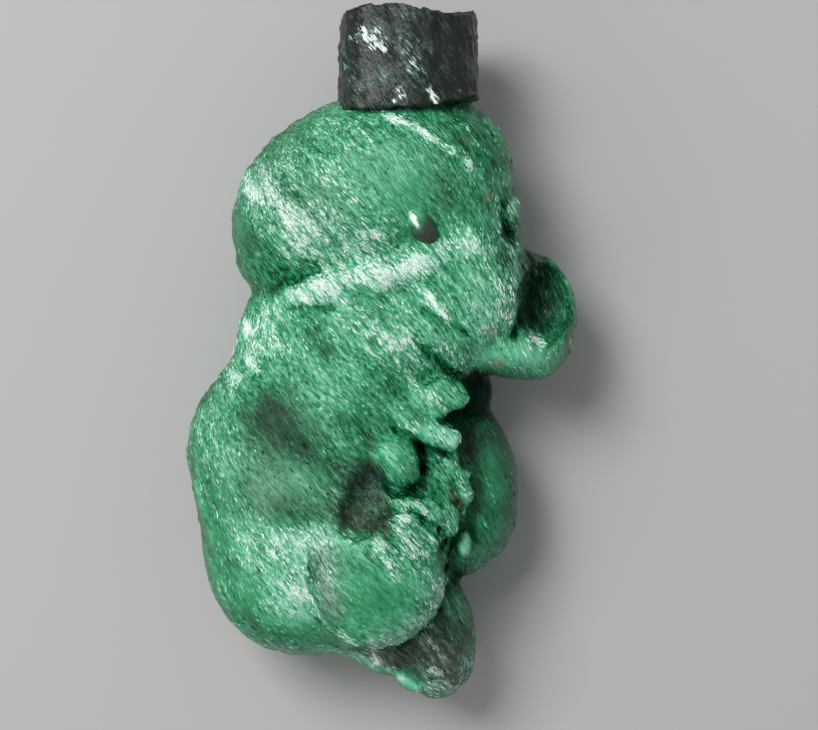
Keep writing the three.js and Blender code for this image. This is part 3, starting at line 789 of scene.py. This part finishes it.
DULL = rows_of("""
0.26 1.8  -5.8 -2 -4.9 -2.9
0.2 1.4  -6.2 -6.6
0.72 0.8  -2.5 -10.2 -2.6 -11.6 -2.1 -13  # grey crescent of the front lobe
0.28 3.2  -5.6 -5.4 -3.6 -6.6  # middle of the body
0.35 0.5  0.2 -15.2 1.6 -14.9 2.9 -14 3.8 -12.9 4.2 -11.8  # its rim
0.7 1.3  9.6 6.8 10.2 4.4  # hollow of the cup
0.3 1  4 11.4 4.3 10.8
0.32 2  -5.5 11.5 -3 9.5
0.3 0.8  -1.3 -5.4 -1.9 -7.6  # left of the pit
0.5 0.7  8.4 10.3 8.4 9
0.3 0.5  7.9 8.8 8.1 6.9
-0.6 0.6  1.8 -17.7 2.9 -18.4  # takes the dullness of the foot off the mint bead
-0.5 0.3  -0.6 -16.9 0.4 -17.4 1.6 -17.8  # and off the edge of the toe
""")
RUST = rows_of("""
0.5 0.22  6.95 10.7
0.7 0.22  7.15 2.9
0.6 0.2  7.5 1 7.8 1
0.7 0.25  12 2.1
0.3 0.26  4.9 -6.7 5.3 -7.2
0.2 0.2  -4.8 10.15
0.05 0.8  -1.2 -7.9 0.6 -8.2  # foot of the pit
0.02 1.2  -5.4 -2.4  # shallow dish
0.1 0.7  4.3 -16 4.6 -16.6  # foot
""")
print("dark, dull and rusty soft spots:", len(DARK_AND_SHADE), len(DULL), len(RUST))

# %% Soft spots of the lower parts
# These mark only what lies lower than the lobes in front.
DEEP_BELOW = (9.6, 0.6)  # mm above the table, and over what height they come in
# Mostly painted shade: the right lobe, the notch under the cup, the places under the ledges and behind the
# folds, and the foot lie in the shade of the lobes in front and are painted darker there, partly also as
# darker stone.
DEEP_DARK_AND_SHADE = rows_of("""
0.27 2.6  7.6 -3 7.8 -8  # right lobe
0.6 0.9  6.2 0 6.7 -0.8 6.2 -1.6  # notch under the cup
0.25 0.7  4.6 -2.3 5.6 -2.8 5.8 -4  # under the ledges
0.12 0.5  6.3 -5.5 6 -8  # behind the folds
-0.16 0.5  5.7 -2.1 6.6 -2.7  # lighter patches of the right lobe
-0.1 0.4  7 -4.1 7.3 -4.9
-0.1 0.6  7.2 -5.6 7.6 -7.2
-0.07 0.8  8.3 -7.4 7.9 -9
0.3 0.35  4.5 -9.8 4.9 -10.9
0.22 0.8  5.4 -11.6 5 -12.4
0.2 2.2  2.8 -15.6 4.6 -15.2  # foot
""")
DEEP_DULL = rows_of("""
0.95 2.6  3 -15.6 4.6 -17.4  # foot
0.6 0.8  0.2 -16.2 1.4 -16.8
""")
# The glints of the foot are painted highlights; the streaks of the right lobe and the pale edge of the foot
# are paler stone.
DEEP_PALE_AND_GLINTS = rows_of("""
2 0.13  3.2 -15.1 3.8 -15.7 4.2 -16.3 4.6 -16.8  # glints of the foot
0.8 0.2  3.6 -17.2 4.2 -17.5
0.9 0.12  3.1 -14.5 3.8 -14.6
0.9 0.1  4.6 -14.9 5.2 -15.8
1.8 0.18  0.1 -15.8 0.5 -16.9
0.3 0.6  3.4 -18.5 5.2 -18.2 5.9 -17
0.3 0.12  6.7 -8.1 7 -8.6  # streaks of the right lobe
0.18 0.4  7.1 -5.6 7.5 -7.2
0.16 0.5  6 -1.9 7 -2.8
""")
PIT = [(-0.7, -4.5), (-1.8, -8.4), (-0.6, -8.9), (1.3, -8.9), (1.4, -7.0), (0.5, -4.6)]  # its outline
PIT_EDGE = 0.4  # mm, over which it fades into the skin
print("lower soft spots:", len(DEEP_DARK_AND_SHADE), len(DEEP_DULL), len(DEEP_PALE_AND_GLINTS))

# %% Tones
SIDE_FADE, HEIGHT_FADE = 1.2, 0.05  # how fast the marks fade down the sides, and to a mm of height
SEEN_HEIGHT = 6  # mm above the table, where an upright side is half marked
PLAIN_SHADE = 0.54  # of stone without a mark, where 0 is the darkest and 1 is white
PALE_SHADE = 0.35  # how much shade a pale mark adds
PLAIN_SILK, PALE_SILK = 0.15, 1.3  # how much glints without a mark, and in a pale one
PIT_SHADE, PIT_DULL, PIT_SILK = 0.38, 0.28, 0.5  # what the pit takes, adds and takes
LOW_SILK = 0.85  # what the lower parts lose of the plain silk
DARK_SILK, DARK_SHINE = 1.5, 1.8  # what a dark mark takes off silk and shine
CLOSED_IN = 0.8  # mm, how near other stone has to be for painted shade and less shine at a point
# how much painted shade darkens a point that other stone closes in
PAINTED_CREASE_SHADE = 0.3
BLOTCHES = [(0.9, 0.04, 8), (1.6, 0.07, 9), (2.6, 0.06, 4), (6.0, 0.05, 5)]  # size in mm, tone, seed
BLOTCH_SHIFT = 7.7
LOW_BLOTCH = (1.3, 0.10)  # size in mm and tone of the mottling of the lower parts
WISP = (0.40, 2.2, 1.4)  # mm, the wisps that glinting fibres gather in, across, along and above
WISP_FULL, WISP_SWING, WISP_LIMITS = 0.65, 1.5, (0.05, 1.6)  # how many fibres a wisp has
EVEN_SHARE = 0.4  # of a pale mark, that is the same in a wisp and beside it
SLOPE_SILK, LEAST_SILK = 1.6, 0.12  # how slowly silk fades as the skin turns down, and what stays
LEAST_DARK_SILK, LEAST_SHINE = 0.15, 0.05  # what stays of silk and shine in dark marks
TEXTURE_LIMITS = (0.3, 1.5)  # of the contrast of the streaks
NORMAL_REACH = 0.1  # mm, over which the slope of the skin is taken


def inside_share(points, outline, fade):
    """1 inside a convex outline, 0 outside, with a soft edge. The outline runs anticlockwise."""
    corners = np.array(outline, float)
    share = np.ones(len(points))
    for first, last in zip(corners, np.roll(corners, -1, axis=0)):
        edge = (last - first) / np.linalg.norm(last - first)
        depth = edge[0] * (points[:, 1] - first[1]) - edge[1] * (points[:, 0] - first[0])
        share *= np.clip(0.5 + depth / (2 * fade), 0, 1)
    return share


def tone_attributes(points, normal, field):
    seen = np.clip(0.5 + normal[:, 2] * SIDE_FADE + (points[:, 2] - SEEN_HEIGHT) * HEIGHT_FADE, 0, 1)
    low = seen * np.clip((DEEP_BELOW[0] - points[:, 2]) / DEEP_BELOW[1], 0, 1)
    pit = inside_share(points, PIT, PIT_EDGE)
    blotch = sum(tone * noise(points / size + BLOTCH_SHIFT, seed=seed) for size, tone, seed in BLOTCHES)
    blotch = blotch + low * LOW_BLOTCH[1] * noise(points / LOW_BLOTCH[0], seed=15)
    wisp = np.clip(WISP_FULL + WISP_SWING * noise(grain_of(points) / WISP, seed=6), *WISP_LIMITS)
    pale, dark, dull = [
        seen * marks(points, everywhere) + low * marks(points, deep)
        for everywhere, deep in ((PALE_AND_SHEEN, DEEP_PALE_AND_GLINTS), (DARK_AND_SHADE, DEEP_DARK_AND_SHADE), (DULL, DEEP_DULL))
    ]
    pale = pale * (EVEN_SHARE + (1 - EVEN_SHARE) * wisp)
    shade = PLAIN_SHADE + PALE_SHADE * pale + seen * marks(points, MINT_AND_PAINTED_LIGHT) - dark - PIT_SHADE * seen * pit
    plain_silk = PLAIN_SILK * wisp * np.clip(roughness_of(points), 0, 1) * (1 - LOW_SILK * low)
    silk = (plain_silk + PALE_SILK * pale) * (1 - PIT_SILK * pit)
    silk = silk * np.clip(1 - DARK_SILK * dark, LEAST_DARK_SILK, 1)
    # painted shade: a point that other stone closes in is painted darker, and shines less
    open_share = np.clip(field(points + normal * CLOSED_IN) / CLOSED_IN, 0, 1)
    flow = fibre_direction(points)
    flow -= normal * (flow * normal).sum(axis=1, keepdims=True)
    flow /= np.linalg.norm(flow, axis=1, keepdims=True) + TINY
    return {
        "shade": np.clip(shade + blotch, 0, 1) - PAINTED_CREASE_SHADE * (1 - open_share),
        "silk": np.clip(silk * np.clip(normal[:, 2] * SLOPE_SILK, LEAST_SILK, 1), 0, 1),
        "dull": np.clip(dull + PIT_DULL * seen * pit, 0, 1),
        "rust": np.clip(seen * marks(points, RUST), 0, 1),
        "texture": np.clip(roughness_of(points), *TEXTURE_LIMITS),
        "shine": open_share * np.clip(1 - DARK_SHINE * dark, LEAST_SHINE, 1),
        "grain": grain_of(points),
        "flow": flow,
    }


def grown(name, field, low, high, step, own_shade=None):
    """The skin of a field as a piece with its tones. own_shade: a function that gives its shade instead."""
    points, faces = surface(field, low, high, step)
    slope = slope_of(field, points, NORMAL_REACH)
    tones = tone_attributes(points, slope / (np.linalg.norm(slope, axis=1, keepdims=True) + TINY), field)
    if own_shade:
        tones["shade"] = own_shade(points)
    print(f"{name}: {2 * len(faces)} triangles, mean shade {tones['shade'].mean():.2f}")
    return mesh_object(name, points, faces, tones)


SKIN_CELL = 0.177  # mm, small enough for the ribs, large enough for under 200,000 triangles
skin = grown("silky_skin", skin_distance, (-12.5, -20.5, -0.6), (13.5, 19.5, 16.0), SKIN_CELL)

# %% [markdown]
# ## The dark stub
# Above the upper lobe the fibres are nearly black and are broken off square, like a
# snapped bundle of sticks. It is a field of its own: a squarish prism with splintered
# sides, meshed more finely than the skin and sunk into the upper lobe.

# %% The dark stub
STUB_CENTRE = (2.25, 7.5)  # mm, x and z
STUB_HALF = (4.15, 4.35)  # mm, half its width and depth
STUB_ENDS = (15.85, 21.7)  # mm, y
STUB_SQUARE = 3.2  # 2 would be round, and the higher this is the squarer is the stub
STUB_STEEPNESS = 0.9  # of the field at its sides
STUB_BULGES = [(0.02, 3, 0.4), (0.012, 7, 2)]  # share of its half width, how many, and their turn
STUB_TAPER = (0.02, 17, 4)  # what it loses of its half width, from which y, and in how many mm
BREAK_WAVES = (0.3, 3, 0.5)  # mm, how many, and their turn
BREAK_RIM = 0.8  # share of the half width, from which the waves have their whole height
FOOT_CURVE = (1.5, 0.045)  # x from which its foot rises, and how fast
SPLINTERS = [(0.10, (0.45, 2.4, 0.45), 11), (0.06, (0.25, 0.9, 0.25), 12)]  # height, size, seed
STUB_CELL = 0.13


def stub_distance(points):
    x, y, z = points.T
    u, w = (x - STUB_CENTRE[0]) / STUB_HALF[0], (z - STUB_CENTRE[1]) / STUB_HALF[1]
    angle, grain = np.arctan2(w, u), grain_of(points)
    splinter = sum(height * noise(grain / size, seed=seed) for height, size, seed in SPLINTERS)
    waist = sum(share * np.cos(count * angle + turn) for share, count, turn in STUB_BULGES)
    waist = waist - STUB_TAPER[0] * (y - STUB_TAPER[1]) / STUB_TAPER[2]
    across = (np.abs(u) ** STUB_SQUARE + np.abs(w) ** STUB_SQUARE) ** (1 / STUB_SQUARE)
    side = (across - 1 - waist) * STUB_HALF[0] * STUB_STEEPNESS + splinter
    wave = BREAK_WAVES[0] * np.cos(BREAK_WAVES[1] * angle + BREAK_WAVES[2])
    broken = wave * np.clip(np.hypot(u, w) / BREAK_RIM, 0, 1) + splinter * 2
    foot = STUB_ENDS[0] + FOOT_CURVE[1] * np.maximum(x - FOOT_CURVE[0], 0) ** 2 + splinter
    return np.maximum(np.maximum(side, y - STUB_ENDS[1] - broken), foot - y)


stub = grown("splintered_stub", stub_distance, (-2.8, 14.8, 2.4), (7.2, 22.8, 12.6), STUB_CELL)

# %% [markdown]
# ## The glassy drop
# Under the upper lobe sits one drop of clear dark stone in a socket of its own. Its
# colour is painted darker towards its lower right, as painted shade where no light comes
# back through it, and a pale streak at its upper left is a painted highlight.

# %% The glassy drop
DROP_CENTRE, DROP_RADII = (3.05, 8.95, 12.25), (0.72, 1.32, 0.85)  # mm
# A painted highlight: a pale streak at the drop's upper left, given as marks.
DROP_PAINTED_GLINT = [(0.5, 0.11, 2.52, 9.42, 2.85, 8.9), (0.22, 0.1, 2.35, 9.75, 3.05, 8.6)]
DROP_SHADE, DROP_PAINTED_SHADE_FALL, DROP_MOST = 0.34, 0.5, 0.65  # in the middle, lost to a mm downhill as painted shade, and at most
DROP_MOTTLING = (0.12, 4)  # tone, and patches to a mm
DROP_CELL = 0.1
drop_distance = lump(DROP_CENTRE, DROP_RADII, 0, turn=40, lean=18)[0]


def drop_shade(points):
    downhill = (points - DROP_CENTRE) @ (0.6, -0.75, 0.0)  # mm, towards its lower right
    mottling = DROP_MOTTLING[0] * noise(grain_of(points) * DROP_MOTTLING[1])
    shade = np.clip(DROP_SHADE - DROP_PAINTED_SHADE_FALL * downhill + mottling, 0, DROP_MOST)
    return shade + marks(points, DROP_PAINTED_GLINT)


drop = grown("glassy_drop", drop_distance, (1.9, 7.4, 11.8), (4.7, 10.4, 14.0), DROP_CELL, drop_shade)

# %% [markdown]
# ## The materials
# Silky malachite is a copper carbonate in parallel fibres. What gives it away is the
# streaked green, from bottle green to mint, and a sheen that breaks into fine lines.
# The streaks are noise drawn in the grain coordinates: fine ones 0.12 mm wide and
# 0.5 mm long, among coarse ones 0.3 mm wide and 2 mm long. Real fibres are ten times
# finer, so they are drawn as coarse as the eye can still follow. The same tree
# finishes the fibres, with a random tone for each one and a painted sheen that lifts
# them towards white where the stone is silkiest.

# %% Streaks and colours
FINE = (1 / 0.12, 1 / 0.50, 1 / 0.45)  # streaks to a millimetre, across, along and above
COARSE = (1 / 0.30, 1 / 2.1, 1 / 1.40)
GREENS = [(0.0, "08241a"), (0.25, "0d5f39"), (0.5, "2b9863"), (0.75, "78d2a8"), (1.0, "eefaf4")]
OLIVES = [(0.0, "0c120f"), (0.3, "2a3a31"), (0.5, "536f5e"), (0.75, "97b3a4"), (1.0, "e6efea")]
RUST_BROWN = "a5795a"
MALACHITE_IOR = 1.66
FINE_SHARE = 0.6  # of the streaks' tone that the fine ones give


def colour_at(tree, shade, stops):
    """The colour of a shade, read between hex stops."""
    ramp = add(tree, "ShaderNodeValToRGB", {"Fac": shade})
    elements = ramp.color_ramp.elements
    for element, (place, code) in zip(elements, (stops[0], stops[-1])):
        element.position, element.color = place, linear(code)
    for place, code in stops[1:-1]:
        elements.new(place).color = linear(code)
    return ramp


def weighted(tree, base, *terms):
    """base + value x weight for each term"""
    for value, weight in terms:
        base = add(tree, "ShaderNodeMath", {0: value, 1: weight, 2: base}, operation="MULTIPLY_ADD")
    return base


def streaks(tree, grain, scale):
    """Noise drawn along the fibres, mostly between 0.3 and 0.7."""
    stretched = add(tree, "ShaderNodeMapping", {"Vector": grain, "Scale": scale})
    noise_inputs = {"Vector": stretched, "Scale": 1.0, "Detail": 2.0, "Roughness": 0.6}
    return add(tree, "ShaderNodeTexNoise", noise_inputs)


print("greens:", [code for _, code in GREENS])

# %% Silky stone
PAINTED_EDGE_SHADE = (0.35, 4.0)  # painted shade where the skin turns away from the camera: how much darker, and how close to its edge that stays
UNEVEN_GLOSS = 0.3  # how far the fine streaks move the roughness
BUMP_STRENGTH = 0.9


def stone(name, roughness, gloss, streak_tone, streak_height=0.0, own_tone=0.0, painted_sheen=0.0, satin=0.0):
    """Streaked fibrous stone.

    streak_tone, own_tone: how far the streaks and the random tone of a fibre move the shade.
    painted_sheen: painted sheen, added to the shade where the stone is silkiest. satin: how far
    its highlights are drawn out across the fibres. streak_height: in mm.
    """
    material, tree, shader, read = begun(
        name, "shade", "silk", "dull", "rust", "shine", "texture", "chance", "grain", "flow"
    )
    fine, coarse = [streaks(tree, read["grain"], scale) for scale in (FINE, COARSE)]
    streak = weighted(tree, -0.5, (fine, FINE_SHARE), (coarse, 1 - FINE_SHARE))
    contrast = weighted(tree, 0.0, (streak, read["texture"]))
    # Painted shade: the stone is darker where its skin turns away from the camera.
    away = add(tree, "ShaderNodeLayerWeight", {"Blend": 0.5}).outputs["Facing"]
    edge = add(tree, "ShaderNodeMath", {0: away, 1: PAINTED_EDGE_SHADE[1]}, operation="POWER")
    own, silky = (read["chance"], own_tone), (read["silk"], painted_sheen)
    shade = weighted(tree, read["shade"], (contrast, streak_tone), own, silky, (edge, -PAINTED_EDGE_SHADE[0]))
    colour = colour_at(tree, shade, GREENS)
    for key, other in (("dull", colour_at(tree, shade, OLIVES)), ("rust", linear(RUST_BROWN))):
        both = {"Factor": read[key], 6: colour, 7: other}
        colour = add(tree, "ShaderNodeMix", both, data_type="RGBA").outputs[2]
    feed(tree, shader, {
        "Base Color": colour,
        "Roughness": weighted(tree, roughness - UNEVEN_GLOSS / 2, (fine, UNEVEN_GLOSS)),
        "Specular IOR Level": weighted(tree, 0.0, (read["shine"], gloss)),
        "IOR": MALACHITE_IOR,
        "Anisotropic": satin,
        "Tangent": read["flow"],
    })
    if streak_height:
        bump = {"Height": contrast, "Strength": BUMP_STRENGTH, "Distance": streak_height * MM}
        feed(tree, shader, {"Normal": add(tree, "ShaderNodeBump", bump)})
    return material


silky_malachite = stone(
    "silky fibrous malachite", roughness=0.42, gloss=0.5, streak_tone=2.2, streak_height=0.45, satin=0.5
)
fibre_malachite = stone(
    "single malachite fibres", roughness=0.32, gloss=0.45, streak_tone=0.6, own_tone=0.62, painted_sheen=0.3
)
skin.data.materials.append(silky_malachite)
print("materials:", [m.name for m in bpy.data.materials])

# %% [markdown]
# The stub is the same mineral, dense and nearly black, broken across its fibres. Its
# colour has grey and teal flecks, and white glints painted where its silk marks lie.
# The drop is clear dark stone.

# %% Dark stone
BROAD = (1 / 0.9, 1 / 1.8, 1 / 0.9)  # patches to a millimetre, across, along and above
# The white end of the blacks is reached only by the painted glints.
BLACKS = [(0.2, "050b08"), (0.5, "101c15"), (0.66, "21402f"), (0.8, "5f8a78"), (1.0, "e8efea")]
# The white end of the clear greens is reached only by the drop's painted highlight.
CLEAR_GREENS = [(0.0, "2f352b"), (0.3, "36493a"), (0.5, "38825a"), (0.7, "5fb48a"), (1.0, "f4fbf7")]
DARK_TONE = (-0.37, 0.7, 0.9)  # in general, and what the broad patches and the fine streaks add
STUB_PAINTED_GLINT = (-0.6, 2.4)  # what a painted glint adds, and how far the fine streaks move that
DARK_ROUGHNESS = (0.15, 0.5)  # in general, and what the fine streaks add
SPLINTER_BUMP = {"Strength": 0.7, "Distance": 0.12 * MM}


def splintery(name):
    material, tree, shader, read = begun(name, "grain", "silk")
    fine, broad = [streaks(tree, read["grain"], scale) for scale in (FINE, BROAD)]
    glint = weighted(tree, STUB_PAINTED_GLINT[0], (fine, STUB_PAINTED_GLINT[1]))
    tone = weighted(tree, DARK_TONE[0], (broad, DARK_TONE[1]), (fine, DARK_TONE[2]), (read["silk"], glint))
    feed(tree, shader, {
        "Base Color": colour_at(tree, tone, BLACKS),
        "Roughness": weighted(tree, DARK_ROUGHNESS[0], (fine, DARK_ROUGHNESS[1])),
        "Specular IOR Level": 0.35,
        "IOR": MALACHITE_IOR,
        "Normal": add(tree, "ShaderNodeBump", {"Height": fine, **SPLINTER_BUMP}),
    })
    return material


def glassy(name):
    material, tree, shader, read = begun(name, "shade")
    colour = colour_at(tree, read["shade"], CLEAR_GREENS)
    feed(tree, shader, {"Base Color": colour, "Roughness": 0.16, "IOR": MALACHITE_IOR})
    return material


stub.data.materials.append(splintery("dark malachite, broken across"))
drop.data.materials.append(glassy("clear dark malachite"))
print("materials:", len(bpy.data.materials))

# %% [markdown]
# ## A coat of fibres
# On the real stone every streak is the side of a bundle of crystals. Painted streaks
# would not catch the lamp one by one, and hair would be dropped by an exporter, so
# each fibre is a sliver with two long facets, and Geometry Nodes lays about thirteen
# thousand of them on the skin, in line with the grain. A small random roll makes
# neighbours flash at different places, which is what silk does.

# %% The shape of one fibre
fibre_mesh = bpy.data.meshes.new("fibre shape")
fibre_mesh.from_pydata(
    [(-0.5, 0, 0.8), (0.5, 0, 0.8), (0, -0.5, -0.2), (0, 0.5, -0.2)],
    [],
    [(0, 2, 1), (0, 1, 3), (0, 3, 2), (1, 2, 3)],
)
fibre_shape = placed("fibre shape", fibre_mesh)
print("triangles in a fibre:", len(fibre_mesh.polygons))

# %% The tree that lays the fibres
INPUTS = {
    "Geometry": ["Skin"], "Object": ["Fibre"], "Int": ["Seed"], "Material": ["Material"],
    "Float": [
        "Fibres to a square metre", "From Y", "To Y", "Length", "Width", "Height", "Roll", "Tilt", "Yaw",
    ],
}
BARE_BELOW = 0.0004  # metres, where the stone rests on the table
STRETCH = {0: (0.5, 0.6, 0.6), 1: (1.5, 1.6, 1.5), "Seed": 7}  # least and most of a fibre's three sizes


def fibre_tree():
    tree = bpy.data.node_groups.new("coat of fibres", "GeometryNodeTree")
    tree.interface.new_socket("Geometry", in_out="OUTPUT", socket_type="NodeSocketGeometry")
    for kind, names in INPUTS.items():
        for name in names:
            tree.interface.new_socket(name, in_out="INPUT", socket_type="NodeSocket" + kind)
    given = add(tree, "NodeGroupInput").outputs
    place = add(tree, "ShaderNodeSeparateXYZ", {0: add(tree, "GeometryNodeInputPosition")}).outputs
    wanted = add(tree, "FunctionNodeCompare", {0: place["Z"], 1: BARE_BELOW}, operation="GREATER_THAN")
    for edge, operation in ((given["From Y"], "GREATER_EQUAL"), (given["To Y"], "LESS_THAN")):
        within = add(tree, "FunctionNodeCompare", {0: place["Y"], 1: edge}, operation=operation)
        wanted = add(tree, "FunctionNodeBooleanMath", {0: wanted, 1: within}, operation="AND")
    silk = add(tree, "GeometryNodeInputNamedAttribute", {"Name": "silk"}, data_type="FLOAT")
    density = {0: silk, 1: given["Fibres to a square metre"]}
    density = add(tree, "ShaderNodeMath", density, operation="MULTIPLY")
    points = add(tree, "GeometryNodeDistributePointsOnFaces", {
        "Mesh": given["Skin"], "Selection": wanted, "Density": density, "Seed": given["Seed"],
    })
    flow = add(tree, "GeometryNodeInputNamedAttribute", {"Name": "flow"}, data_type="FLOAT_VECTOR")
    lie = add(tree, "FunctionNodeAxesToRotation", {
        "Primary Axis": points.outputs["Normal"], "Secondary Axis": flow,
    }, primary_axis="Z", secondary_axis="X")
    most, size = [
        add(tree, "ShaderNodeCombineXYZ", {axis: given[name] for axis, name in zip("XYZ", names)})
        for names in (("Roll", "Tilt", "Yaw"), ("Length", "Width", "Height"))
    ]
    least = add(tree, "ShaderNodeVectorMath", {0: most, "Scale": -1.0}, operation="SCALE")
    limits = {0: least, 1: most, "Seed": given["Seed"]}
    wobble = add(tree, "FunctionNodeRandomValue", limits, data_type="FLOAT_VECTOR")
    turns = {"Rotation": lie, "Rotate By": wobble}
    rotation = add(tree, "FunctionNodeRotateRotation", turns, rotation_space="LOCAL")
    stretch = add(tree, "FunctionNodeRandomValue", STRETCH, data_type="FLOAT_VECTOR")
    size = add(tree, "ShaderNodeVectorMath", {0: size, 1: stretch}, operation="MULTIPLY")
    chance = add(tree, "FunctionNodeRandomValue", {2: -0.5, 3: 0.5, "Seed": 11}, data_type="FLOAT")
    points = add(tree, "GeometryNodeStoreNamedAttribute", {
        "Geometry": points, "Name": "chance", "Value": chance.outputs[1],
    }, data_type="FLOAT", domain="POINT")
    shape = add(tree, "GeometryNodeObjectInfo", {"Object": given["Fibre"]}).outputs["Geometry"]
    laid = add(tree, "GeometryNodeInstanceOnPoints", {
        "Points": points, "Instance": shape, "Rotation": rotation, "Scale": size,
    })
    real = add(tree, "GeometryNodeRealizeInstances", {"Geometry": laid})
    finished = add(tree, "GeometryNodeSetMaterial", {"Geometry": real, "Material": given["Material"]})
    add(tree, "NodeGroupOutput", {"Geometry": finished})
    return tree


coat = fibre_tree()
identifiers = {s.name: s.identifier for s in coat.interface.items_tree if s.in_out == "INPUT"}
print("nodes in the tree:", len(coat.nodes))

# %% Laying the fibres
COAT = {
    "Fibre": fibre_shape, "Material": fibre_malachite,
    "Fibres to a square metre": 105e6,  # where the stone is silkiest
    "Length": 0.34 * MM, "Width": 0.10 * MM, "Height": 0.05 * MM,
    "Roll": math.radians(28), "Tilt": math.radians(7), "Yaw": math.radians(10),
}
BELT_EDGES = (-0.03, -0.0125, -0.0055, 0.0035, 0.03)  # metres along Y, from the foot up
FIRST_SEED = 21


def fibres_on(carrier, name, values):
    """A plain mesh of fibres laid on the carrier by the tree."""
    modifier = carrier.modifiers.new("coat", "NODES")
    modifier.node_group = coat
    for key, value in values.items():
        modifier[identifiers[key]] = value
    carrier.update_tag()
    graph = bpy.context.evaluated_depsgraph_get()
    mesh = bpy.data.meshes.new_from_object(carrier.evaluated_get(graph))
    carrier.modifiers.remove(modifier)
    mesh.name = name
    print(name, "triangles:", len(mesh.polygons))
    return placed(name, mesh)


coats = []
for number, (start, end) in enumerate(zip(BELT_EDGES, BELT_EDGES[1:])):
    belt = {"From Y": start, "To Y": end, "Seed": FIRST_SEED + number}
    coats.append(fibres_on(skin, f"fibres_{number + 1}", {**COAT, **belt}))
bpy.data.objects.remove(fibre_shape)

# %% [markdown]
# ## Handing the pieces over
# Every piece rides on the one body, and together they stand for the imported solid.

# %% Hand over
for piece in [skin, stub, drop, *coats]:
    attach(piece, "root")
    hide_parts(NODE)
